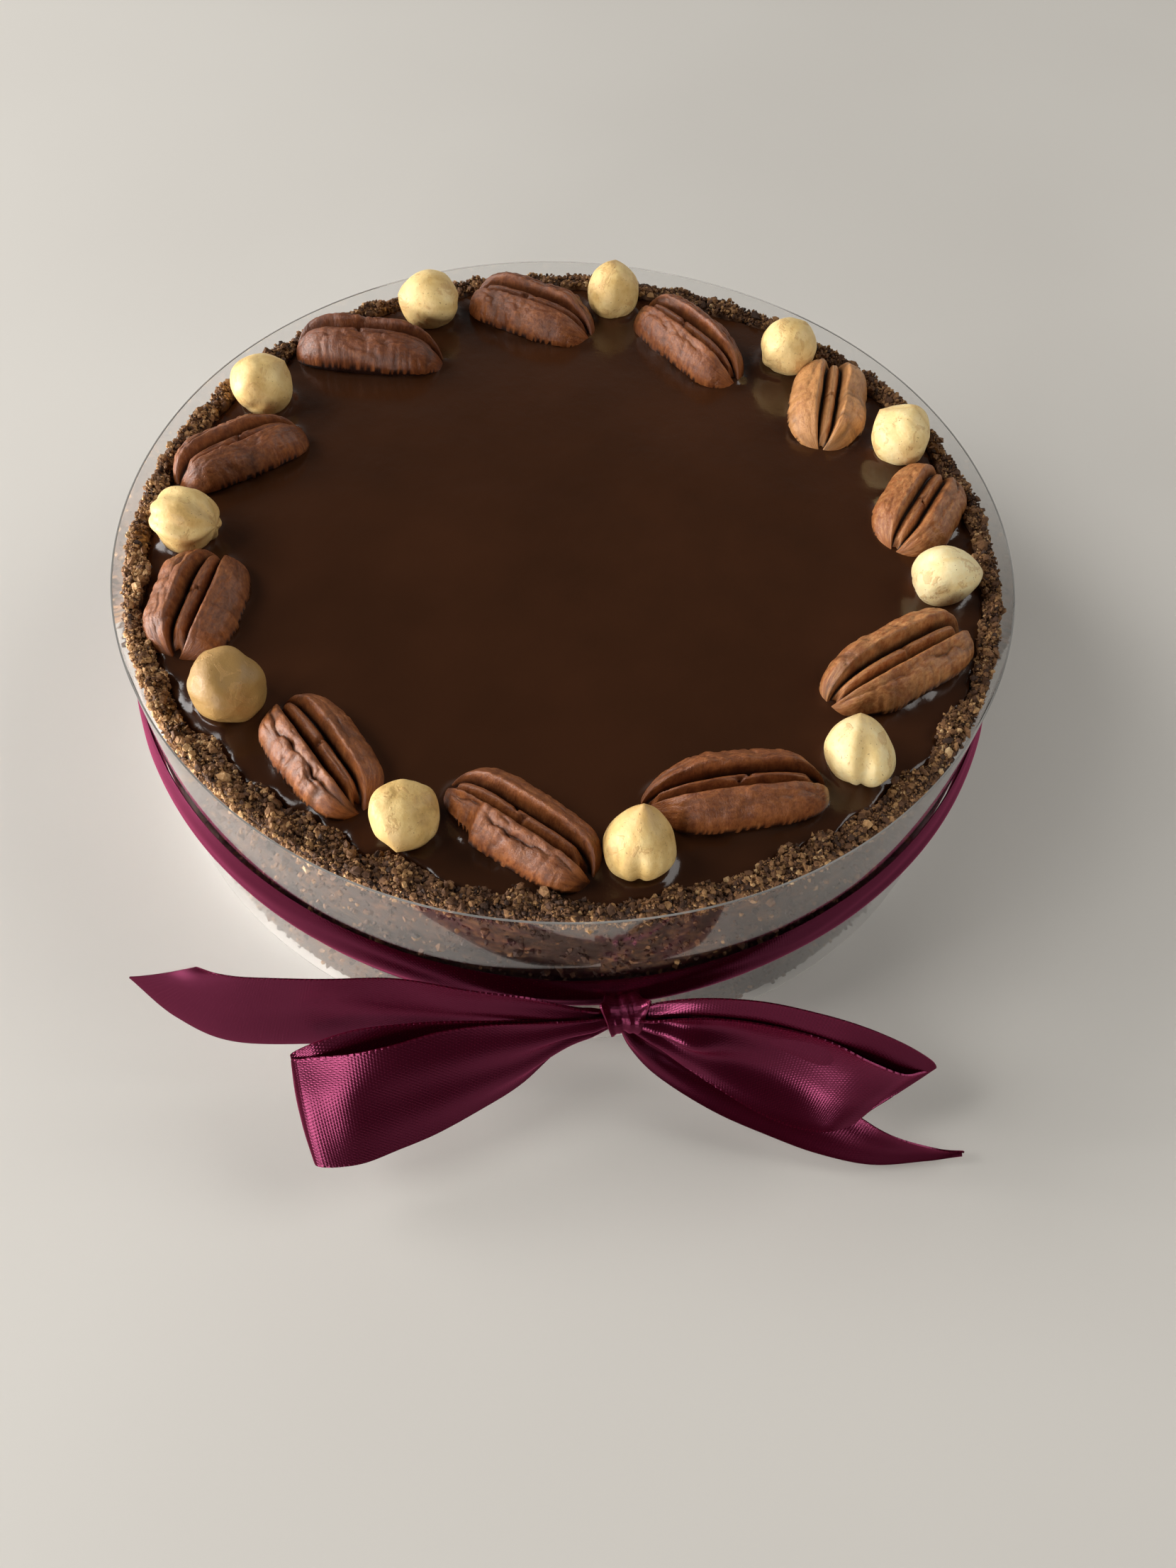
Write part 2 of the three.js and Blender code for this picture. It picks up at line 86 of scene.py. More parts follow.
def soft_noise(points, seed=0):
    """Smooth noise from -1 to 1 at points, with swells about one unit across."""
    cell = np.floor(points).astype(np.int64)
    part = points - cell
    part = part * part * (3 - 2 * part)
    total = np.zeros(len(points))
    for corner in itertools.product((0, 1), repeat=3):
        weight = np.prod(np.where(np.array(corner) == 1, part, 1 - part), axis=1)
        total += weight * hashed(cell + np.array(corner), seed)
    return 2 * total - 1


def line_noise(values, seed=0):
    """Smooth noise from -1 to 1 along a line."""
    values = np.asarray(values, float)
    return soft_noise(np.stack([values, values * 0 + 0.5, values * 0 + 0.5], axis=1), seed)


def nearest_grain(points, size, seed):
    """Distance in grain sizes from each point to the nearest of many scattered grains, and its tone."""
    spots = points / size
    base = np.floor(spots).astype(np.int64)
    apart = np.full(len(points), 9.0)
    tone = np.zeros(len(points))
    for step in itertools.product((-1, 0, 1), repeat=3):
        cell = base + np.array(step)
        middle = cell + np.stack([hashed(cell, seed + k) for k in range(3)], axis=1)
        distance = np.linalg.norm(spots - middle, axis=1)
        closer = distance < apart
        apart = np.where(closer, distance, apart)
        tone = np.where(closer, hashed(cell, seed + 3), tone)
    return apart, tone


def rim_width(angle):
    """Width of the crumb rim at an angle: lumpy, and wider where the crumbs were heaped."""
    lumps = sum(height * np.sin(count * angle + start) for count, start, height in RIM_LUMPS)
    ragged = sum(depth * line_noise(angle * close, seed) for close, depth, seed in RIM_RAGS)
    swell = 0
    for at, reach, width in RIM_SWELLS:
        apart = (np.degrees(angle) - at + 180) % 360 - 180
        swell = swell + width * np.exp(-((apart / reach) ** 2))
    return RIM_WIDTH + swell + (lumps + ragged) * (0.7 + 0.25 * swell)


def values_of(items, field, width=3):
    """One field of all vertices or faces, a row for each."""
    flat = np.empty(len(items) * width)
    items.foreach_get(field, flat)
    return flat.reshape(-1, width)


def points_of(piece):
    """The piece's vertices in millimetres."""
    return values_of(piece.data.vertices, "co") / MM


def move_points(piece, points):
    """Puts the piece's vertices at new places in millimetres."""
    piece.data.vertices.foreach_set("co", (points * MM).ravel())
    piece.data.update()


def mark(piece, name, values):
    """Stores a number or a vector for each vertex, for the material to read."""
    vector = values.ndim == 2
    layer = piece.data.attributes.new(name, "FLOAT_VECTOR" if vector else "FLOAT", "POINT")
    layer.data.foreach_set("vector" if vector else "value", values.ravel())


def blank(name, add, **sizes):
    """A plain shape to start a piece from, the only one selected."""
    bpy.ops.object.select_all(action="DESELECT")
    add(**sizes)
    piece = bpy.context.object
    piece.name = name
    return piece


def mend(gap):
    """Merges the points of the new piece that are no further apart than a gap."""
    bpy.ops.object.mode_set(mode="EDIT")
    bpy.ops.mesh.select_all(action="SELECT")
    bpy.ops.mesh.remove_doubles(threshold=gap)
    bpy.ops.mesh.delete_loose()
    bpy.ops.object.mode_set(mode="OBJECT")


def face_outwards():
    """Turns every face of the new piece outwards, and smooths it."""
    bpy.ops.object.mode_set(mode="EDIT")
    bpy.ops.mesh.select_all(action="SELECT")
    bpy.ops.mesh.normals_make_consistent(inside=False)
    bpy.ops.object.mode_set(mode="OBJECT")
    bpy.ops.object.shade_smooth()


def spun(name, profile, steps):
    """Spins a profile of radius and height about the upright axis into a closed body."""
    piece = blank(name, bpy.ops.mesh.primitive_circle_add, vertices=len(profile), radius=1)
    move_points(piece, np.array([(radius, 0, height) for radius, height in profile], float))
    lathe = piece.modifiers.new("lathe", "SCREW")
    lathe.steps = lathe.render_steps = steps
    bpy.ops.object.modifier_apply(modifier=lathe.name)
    mend(SEAM_GAP)
    face_outwards()
    return piece


def settle(piece, slot, *nodes):
    """Fixes a finished piece to the cake, in place of its CAD nodes."""
    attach(piece, "root")
    if nodes:
        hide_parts(*nodes)


crust_profile = [(0, 0), (CRUST_RADIUS - FOOT_CHAMFER, 0)]
for height in np.arange(FOOT_CHAMFER, RIM_HEIGHT - WALL_ROW, WALL_ROW):
    crust_profile.append((CRUST_RADIUS, height))
for share in np.linspace(0, 1, RIM_ROWS):
    crust_profile.append((CRUST_RADIUS - RIM_SHOULDER - share * (RIM_WIDTH - RIM_SHOULDER), RIM_HEIGHT))
crust_profile += [(CRUST_RADIUS - RIM_WIDTH, RECESS_HEIGHT), (0, RECESS_HEIGHT)]
crust = spun("crust", crust_profile, CRUST_STEPS)
spots = points_of(crust)
angle = np.arctan2(spots[:, 1], spots[:, 0])
radius = np.hypot(spots[:, 0], spots[:, 1])
rim = spots[:, 2] > RIM_HEIGHT - 0.01
recess = (spots[:, 2] == RECESS_HEIGHT) & (radius > 1)
share = np.clip((CRUST_RADIUS - RIM_SHOULDER - radius) / (RIM_WIDTH - RIM_SHOULDER), 0, 1)
ledge = CRUST_RADIUS - RIM_SHOULDER - share * (rim_width(angle) - RIM_SHOULDER)
radius = np.where(rim, ledge, np.where(recess, CRUST_RADIUS - rim_width(angle), radius))
spots[:, 0] = radius * np.cos(angle)
spots[:, 1] = radius * np.sin(angle)
spots[:, 2] -= np.where(rim, RIM_FALL * share, 0)
move_points(crust, spots)
apart, grain_tone = nearest_grain(spots, GRAIN_SIZE, GRAIN_SEED)
clump, clump_tone = nearest_grain(spots, CLUMP_SIZE, CLUMP_SEED)
wall = (spots[:, 2] > 0.5) & (radius > CRUST_RADIUS - 1)
craggy = np.where(rim, 1.0, np.where(wall, WALL_CRAGS, 0.0))
grains = GRAIN_RELIEF * (GRAIN_MIDDLE - apart)
clumps = CLUMP_RELIEF * (CLUMP_MIDDLE - clump) * np.where(rim, 1, WALL_CLUMPS)
spots += values_of(crust.data.vertex_normals, "vector") * (craggy * (grains + clumps))[:, None]
spots[:, 1] += CRUST_SHIFT
move_points(crust, spots)
# Painted shade: the crust is darker between the grains and between the clumps
hollow_shade = np.clip((apart - 0.35) / 0.4, 0, 1) * 0.6 + np.clip((clump - 0.45) / 0.3, 0, 1) * 0.4
# Painted shade: the whole wall is darker too
wall_shade = np.where(wall, WALL_SHADE, 0)
mark(crust, "tone", np.clip(0.2 + 0.55 * grain_tone + 0.25 * clump_tone - 0.6 * hollow_shade - wall_shade, 0, 1))


class Shade:
    """A value in a material: arithmetic on it adds Math nodes, and node() adds any other node."""

    def __init__(self, tree, socket=None):
        self.tree = tree
        self.socket = socket

    def node(self, kind, sockets=None, output=0, stops=None, **settings):
        made = self.tree.nodes.new("ShaderNode" + kind)
        for name, value in settings.items():
            setattr(made, name, value)
        if stops:
            elements = made.color_ramp.elements
            elements[0].position = stops[0][0]
            elements[1].position = stops[-1][0]
            for place, _ in stops[1:-1]:
                elements.new(place)
            for element, (_, colour) in zip(elements, stops):
                element.color = colour
        for name, value in (sockets or {}).items():
            if isinstance(value, Shade):
                self.tree.links.new(value.socket, made.inputs[name])
            else:
                made.inputs[name].default_value = value
        return Shade(self.tree, made.outputs[output] if made.outputs else None)

    def maths(self, operation, first, second=0.0, clamp=False):
        return self.node("Math", {0: first, 1: second}, operation=operation, use_clamp=clamp)

    def __add__(self, other):
        return self.maths("ADD", self, other)

    __radd__ = __add__

    def __sub__(self, other):
        return self.maths("SUBTRACT", self, other)

    def __rsub__(self, other):
        return self.maths("SUBTRACT", other, self)

    def __mul__(self, other):
        return self.maths("MULTIPLY", self, other)

    __rmul__ = __mul__

    def __pow__(self, other):
        return self.maths("POWER", self, other)

    def clamped(self):
        return self.maths("ADD", self, 0.0, clamp=True)

    def sine(self):
        return self.maths("SINE", self)

    def ramp(self, *stops):
        return self.node("ValToRGB", {0: self}, stops=stops)

    def noise(self, scale, detail, **more):
        """Noise at the places that this vector gives."""
        return self.node("TexNoise", {"Vector": self, "Scale": scale, "Detail": detail, **more})

    def marked(self, name, output="Fac"):
        """What mark() stored on the piece under this name."""
        return self.node("Attribute", output=output, attribute_name=name)

    def bump(self, strength, distance):
        """A normal that follows this value as a height."""
        return self.node("Bump", {"Strength": strength, "Distance": distance, "Height": self})

    def between(self, first, second):
        """A colour between two others, by this value from 0 to 1."""
        return self.node("Mix", {0: self, 6: first, 7: second}, output=2, data_type="RGBA")


def tint(red, green, blue):
    """A colour as seen on a screen, from 0 to 255, in the renderer's own measure."""
    screen = (red, green, blue)
    return (*(((c / 255 + 0.055) / 1.055) ** 2.4 if c > 10 else c / 3294 for c in screen), 1)


def new_material(name):
    """An empty material, and the shade that its nodes are made from."""
    material = bpy.data.materials.new(name)
    material.use_nodes = True
    material.node_tree.nodes.clear()
    return material, Shade(material.node_tree)


def surface(shade, sockets):
    """Ends a material with its shader."""
    shader = shade.node("BsdfPrincipled", sockets)
    shade.node("OutputMaterial", {"Surface": shader})


biscuit, shade = new_material("biscuit_crumb")
where = shade.node("TexCoord", output="Object")
# tone is the crumb's own colour with painted shade in the hollows and over the wall
tone = shade.marked("tone")
mottle = where.noise(1400, 3, Roughness=0.65)
patch = where.noise(160, 2)
baked_and_shaded = (tone * 0.8 + mottle * 0.5 + patch * 0.3 - 0.4).clamped()
crumb_colour = baked_and_shaded.ramp(
    (0.0, tint(52, 32, 20)),
    (0.28, tint(90, 59, 36)),
    (0.55, tint(127, 89, 55)),
    (0.8, tint(172, 131, 84)),
    (1.0, tint(230, 204, 158)),
)
rough_bump = mottle.bump(0.6, 0.00025)
surface(shade, {"Base Color": crumb_colour, "Roughness": 0.82, "Normal": rough_bump})
crust.data.materials.append(biscuit)
settle(crust, "crumb", "crust_body")


# Crumbs: broken grains of the same biscuit, from dust to bits as big as a lentil. They lie thick on the
# rim and stand out of the wall, held by the butter that binds them.
RIM_DUST = ((17500, 0.28, 0.55), (7000, 0.45, 0.8))
RIM_GRAINS = ((5200, 0.55, 1.0), (1300, 0.9, 1.4), (90, 1.3, 1.9))
PALE_SHARE = 0.15
PALE_LIFT = 0.35
TONE_SPREAD = 0.28
GAP_SHADE = 0.6
GAP_START = 0.42
RIM_TONE = 0.57
RIM_FLOOR = 43.2
RIM_INSIDE = 60
# Painted light and shade on the rim, darker at the front and lighter at the left: the middle of the stretch,
# its reach, both in degrees, and by how much
RIM_LIGHT_AND_SHADE = ((268, 20, -0.15), (210, 34, 0.28))
# Painted shade: the grains on the wall are darker than those on the rim
WALL_SHADED_TONE = 0.22
WALL_FOOT = 1
WALL_TOP = 44.2
WALL_GRAINS = ((7500, 0.5, 1.0), (900, 1.0, 1.6))


def scatter(piece, chosen, count, draw):
    """Random places on the faces that chosen picks by centre and normal, evenly by area."""
    faces = piece.data.polygons
    centre = values_of(faces, "center") / MM
    normal = values_of(faces, "normal")
    weight = values_of(faces, "area", 1)[:, 0] * chosen(centre, normal)
    picks = draw.choice(len(faces), count, p=weight / weight.sum())
    return centre[picks] + draw.uniform(-0.3, 0.3, (count, 3)), normal[picks]


def crumbs(name, places, sizes, draw, tone, dust=False):
    """Many knocked-about grains as one mesh, each a ball of twenty facets, or of eight where it is dust."""
    if dust:
        cone = bpy.ops.mesh.primitive_cone_add
        piece = blank(name, cone, vertices=4, radius1=1, depth=1, end_fill_type="TRIFAN")
    else:
        piece = blank(name, bpy.ops.mesh.primitive_ico_sphere_add, subdivisions=1, radius=1)
    ball = points_of(piece)
    ball /= np.linalg.norm(ball, axis=1)[:, None]
    corners = np.array([face.vertices[:] for face in piece.data.polygons])
    count = len(places)
    spin = draw.normal(size=(count, 4))
    w, x, y, z = (spin / np.linalg.norm(spin, axis=1)[:, None]).T
    turned = np.array([
        [1 - 2 * (y * y + z * z), 2 * (x * y - z * w), 2 * (x * z + y * w)],
        [2 * (x * y + z * w), 1 - 2 * (x * x + z * z), 2 * (y * z - x * w)],
        [2 * (x * z - y * w), 2 * (y * z + x * w), 1 - 2 * (x * x + y * y)],
    ]).transpose(2, 0, 1)
    form = ball[None] * draw.uniform(0.6, 1.4, (count, len(ball), 1)) * draw.uniform(0.7, 1.3, (count, 1, 3))
    grains = np.einsum("nij,nkj->nki", turned, form) * (sizes / 2)[:, None, None] + places[:, None]
    links = corners[None] + (np.arange(count) * len(ball))[:, None, None]
    piece.data.clear_geometry()
    piece.data.from_pydata((grains * MM).reshape(-1, 3), [], links.reshape(-1, 3))
    apart, _ = nearest_grain(places - np.array([0, CRUST_SHIFT, 0]), CLUMP_SIZE, CLUMP_SEED)
    pale = np.where(draw.random(count) < PALE_SHARE, PALE_LIFT, 0)
    # Tones: random, some pale, with painted shade in the gaps between clumps, then painted light and shade by
    # bearing round the cake
    tones = draw.normal(tone, TONE_SPREAD, count) + pale + GAP_SHADE * (GAP_START - apart)
    bearing = np.degrees(np.arctan2(places[:, 1], places[:, 0])) % 360
    for middle, reach, change in RIM_LIGHT_AND_SHADE:
        tones += change * np.exp(-(((bearing - middle) / reach) ** 2))
    mark(piece, "tone", np.repeat(np.clip(tones, 0, 1), len(ball)))
    piece.data.materials.append(biscuit)
    settle(piece, "crumb")


def grains_on(name, kinds, chosen, lift, seed, tone, dust=False):
    """Grains of several sizes on a part of the crust, sunk a little way in."""
    draw = np.random.default_rng(seed)
    places, sizes = [], []
    for count, smallest, largest in kinds:
        size = draw.uniform(smallest, largest, count)
        spot, normal = scatter(crust, chosen, count, draw)
        places.append(spot + normal * (size * draw.uniform(-0.1, lift, count))[:, None])
        sizes.append(size)
    crumbs(name, np.concatenate(places), np.concatenate(sizes), draw, tone, dust)


def on_rim(centre, normal):
    """Picks the faces of the rim."""
    return (centre[:, 2] > RIM_FLOOR) & (np.hypot(centre[:, 0], centre[:, 1]) > RIM_INSIDE)


def on_wall(centre, normal):
    """Picks the faces of the wall."""
    return (centre[:, 2] > WALL_FOOT) & (centre[:, 2] < WALL_TOP) & (np.abs(normal[:, 2]) < 0.9)


grains_on("rim_dust", RIM_DUST, on_rim, 0.9, 29, RIM_TONE, dust=True)
grains_on("rim_crumbs", RIM_GRAINS, on_rim, 0.5, 31, RIM_TONE)
grains_on("wall_crumbs", WALL_GRAINS, on_wall, 0.3, 37, WALL_SHADED_TONE)


# Ganache: dark chocolate and cream, poured warm into the crumb case and left to set. Its skin is nearly
# level and softly glossy. It rounds off where it meets the crumbs and creeps up round each nut.
GANACHE_LEVEL = 43.8
GANACHE_STEPS = 900
GANACHE_FOOT = 41.8
CENTRE_REACH = 44.0
CENTRE_ROWS = 12
SKIN_ROW = 0.5
SHORE_START = 70.0
SHORE_BAND = 10
SHORE_ROWS = 26
SHORE_LAP = 0.35
SHORE_DROP = 1.0
SHORE_ROUND = 1.0
SLACK_SIDE = math.radians(212)
SLACK_REACH = 0.75
PECAN_CREEP = 0.5
HAZELNUT_CREEP = 0.9
CREEP_REACH = 0.9
# Unevenness of the skin: how broad, how high, and the seed, and the same for the shore with its reach inwards
SKIN_SWELLS = ((19, 0.10, 41), (7, 0.05, 43))
SHORE_SWELL = (3.4, 0.15, 44, 2.2)
PECAN_COVER = 0.96
HAZELNUT_COVER = 0.86
# Seats of the pecans: angle round the cake, distance out, length, width, turn from the tangent, lean
PECAN_SEATS = (
    (133.5, 65.2, 31, 14, -44, 4),
    (100.7, 65.4, 28.5, 15, -33, -4),
    (69, 61.8, 29.5, 14, -25, -6),
    (38.8, 65.2, 25.5, 16, -47, 2),
    (10, 68, 23.5, 16, -38, 3),
    (335.2, 65.6, 31, 14.5, -29, 3),
    (298.6, 64.5, 31, 14.2, -17, 2),
    (267, 66.4, 28.5, 14, -29, -4),
    (235.8, 65.8, 26, 15, -16, -5),
    (200.6, 68.4, 24.5, 16.5, -26, -3),
    (167.8, 66, 27, 14, -38, 3),
)
# Seats of the hazelnuts: angle, distance out, breadth, length over breadth, heading and tilt of the tip
HAZELNUT_SEATS = (
    (118.5, 70.3, 12.8, 1.0, 200, 70),
    (85.8, 70, 11.8, 1.04, 90, 35),
    (52, 68.6, 12.6, 1.0, 60, 80),
    (24.5, 71, 12.2, 1.0, 150, 60),
    (353.8, 69.6, 11.2, 1.16, 10, 88),
    (316.4, 70.4, 11.6, 1.04, 100, 40),
    (282.8, 71.6, 11.8, 1.06, 95, 25),
    (252, 68.8, 10.7, 0.96, 267, 98),
    (219.6, 69.8, 13.2, 1.02, 300, 75),
    (185.6, 70.2, 12, 1.12, 345, 88),
    (154, 70.3, 12.2, 1.0, 30, 50),
)


def seat_at(at, out, level):
    """The middle of a nut, from its angle round the cake, its distance out and its level."""
    return np.array([out * math.cos(math.radians(at)), out * math.sin(math.radians(at)), level])


def off_outline(spots, at, out, length, width, turn):
    """Distance from each point to the oval that a nut covers, less than nothing inside it."""
    heading = math.radians(at + 90 + turn)
    dx, dy, _ = (spots - seat_at(at, out, 0)).T
    along = dx * math.cos(heading) + dy * math.sin(heading)
    across = dy * math.cos(heading) - dx * math.sin(heading)
    oval = np.hypot(along / (length / 2), across / (width / 2)) + 1e-6
    return np.hypot(along, across) * (1 - 1 / oval)


ganache_profile = [(r, GANACHE_LEVEL) for r in np.linspace(0, CENTRE_REACH, CENTRE_ROWS)]
ganache_profile += [(r, GANACHE_LEVEL) for r in np.arange(CENTRE_REACH + SKIN_ROW, SHORE_START, SKIN_ROW)]
for share in np.linspace(0, 1, SHORE_ROWS):
    ganache_profile.append((SHORE_START + SHORE_BAND * (1 - (1 - share) ** 1.6), GANACHE_LEVEL))
ganache_profile += [(SHORE_START + SHORE_BAND, GANACHE_FOOT), (0, GANACHE_FOOT)]
ganache = spun("ganache_top", ganache_profile, GANACHE_STEPS)
spots = points_of(ganache)
angle = np.arctan2(spots[:, 1], spots[:, 0])
radius = np.hypot(spots[:, 0], spots[:, 1])
shore = CRUST_RADIUS - rim_width(angle) + SHORE_LAP
to_shore = SHORE_START + (shore - SHORE_START) * (radius - SHORE_START) / SHORE_BAND
radius = np.where(radius > SHORE_START, to_shore, radius)
spots[:, 0] = radius * np.cos(angle)
spots[:, 1] = radius * np.sin(angle) + CRUST_SHIFT
top = spots[:, 2] > GANACHE_FOOT + 1
swell = sum(high * soft_noise(spots / broad, seed) for broad, high, seed in SKIN_SWELLS)
broad, high, seed, inwards = SHORE_SWELL
swell += high * soft_noise(spots / broad, seed) * np.exp(-np.clip(shore - radius, 0, None) / inwards)
slack = np.exp(-((((angle - SLACK_SIDE + math.pi) % TURN - math.pi) / SLACK_REACH) ** 2))
rounding = SHORE_ROUND * (1 + 2.2 * slack) * (1 + 0.6 * line_noise(angle * 19, 45))
ease = np.clip((shore - radius) / rounding, 0, 1)
drop = SHORE_DROP * (1 + 0.5 * slack) * (1 + 0.5 * line_noise(angle * 21, 47))
swell -= drop * (1 - np.sqrt(1 - (1 - ease) ** 2))
off_pecan = np.full(len(spots), 99.0)
off_hazelnut = np.full(len(spots), 99.0)
for at, out, length, width, turn, _ in PECAN_SEATS:
    off_pecan = np.minimum(off_pecan, off_outline(spots, at, out, length, width * PECAN_COVER, turn))
for at, out, size, *_ in HAZELNUT_SEATS:
    cover = size * HAZELNUT_COVER
    off_hazelnut = np.minimum(off_hazelnut, off_outline(spots, at, out, cover, cover, 0))
patchy = np.clip(0.7 + 0.9 * soft_noise(spots / 4, 48), 0, 2)
swell += PECAN_CREEP * patchy * np.exp(-np.clip(off_pecan, 0, None) / CREEP_REACH)
swell += HAZELNUT_CREEP * np.clip(patchy, 0.5, 1) * np.exp(-np.clip(off_hazelnut, 0, None) / CREEP_REACH)
spots[:, 2] += np.where(top, swell, 0)
move_points(ganache, spots)
chocolate, shade = new_material("dark_ganache")
where = shade.node("TexCoord", output="Object")
cloud = where.noise(34, 3, Roughness=0.55)
skin = where.noise(260, 4, Roughness=0.6)
grain = where.noise(2600, 2)
chocolate_colour = (cloud * 1.4 - 0.2).clamped().between(tint(55, 31, 16), tint(72, 41, 23))
gloss = 0.09 + cloud * 0.08 + grain * 0.04
dimple = (skin * 0.8 + grain * 0.06).bump(0.25, 0.0004)
surface(shade, {
    "Base Color": chocolate_colour,
    "Roughness": gloss,
    "Specular IOR Level": 0.45,
    "Normal": dimple,
})
ganache.data.materials.append(chocolate)
settle(ganache, "ganache", "ganache")


# Pecans: eleven shelled halves set in the soft ganache at a slant, flat side down. Each has two lobes with a
# ridge between two deep grooves, and its flanks are wrinkled.
PECAN_SINK = 1.0
PECAN_HEIGHT = 0.31
PECAN_SEGMENTS = 144
PECAN_RINGS = 112
TOP_SHARE = 0.75
TRAILING_SQUARE = 3.6
RIDGE_HALF = 0.2
GROOVE_HALF = 0.055
LEAST_CROWN = 0.12
BULGE_HEIGHT = 0.06
BACK_PLEAT = 0.04
PUCKER_DEPTH = 0.2
WORN_FROM = 0.84
# Folds in the skin: stretch along and across the nut, how far apart, and how broad each is
LONG_FOLDS = (0.7, 1, 3.7, 0.16)
SMALL_FOLDS = (0.9, 1, 1.7, 0.22)
CRIMPS = (1.5, 0.45, 2.2, 0.2)
PUCKERS = (1.3, 0.8, 1.5, 0.25)
# How deep the long folds, the small folds and the crimps are, and how much painted shade darkens each
FOLD_DEPTHS = (0.06, 0.03, 0.03)
FOLD_PAINTED_SHADES = (0.45, 0.2, 0.2)
# Tone of the flesh (painted light: raised on the three pecans on the right), wrinkling of the back and the
# front lobe, where the front lobe narrows and by how much, depth of the pleat along the front lobe, wear of
# the tip, how square the leading end is, how far the front lobe is slid past the back one, and how much the
# back lobe narrows behind
PECAN_LOOKS = (
    (0.30, 0.8, 0.8, -0.5, 0.10, 0.10, 0.0, 4.4, 0.06, 0.1),
    (0.45, 0.8, 0.7, -0.6, 0.12, 0.10, 0.0, 4.4, -0.08, 0.15),
    (0.52, 0.8, 0.9, -0.4, 0.08, 0.12, 0.0, 4.4, 0.05, 0.0),
    (1.50, 0.6, 0.8, -0.6, 0.06, 0.08, 0.0, 4.4, 0.08, 0.1),
    (1.05, 0.6, 0.7, -0.5, 0.08, 0.08, 0.0, 4.4, -0.06, 0.15),
    (1.15, 0.9, 0.9, -0.6, 0.10, 0.10, 0.0, 4.4, 0.06, 0.1),
    (0.60, 0.9, 0.5, -0.8, 0.20, 0.06, 1.0, 3.2, 0.18, 0.45),
    (0.60, 0.6, 1.0, -0.36, 0.30, 0.13, 0.0, 6.5, 0.0, 0.0),
    (0.68, 0.7, 1.1, -0.75, 0.10, 0.2, 0.0, 5.0, 0.05, 0.1),
    (0.62, 0.8, 0.8, -0.5, 0.06, 0.10, 0.0, 4.4, -0.06, 0.1),
    (0.50, 0.8, 0.9, -0.4, 0.10, 0.10, 0.0, 4.4, 0.08, 0.0),
)


def furrows(points, folds, seed):
    """Wandering furrows of one kind of fold: 1 along each furrow, and 0 away from it."""
    along, across, size, sharp = folds
    points = points * np.array([along, across, 1])
    sway = np.stack([soft_noise(points / size / 1.6, seed + k) for k in range(3)], axis=1)
    level = soft_noise(points / size + 0.4 * sway, seed + 5)
    return np.exp(-((level / sharp) ** 2))


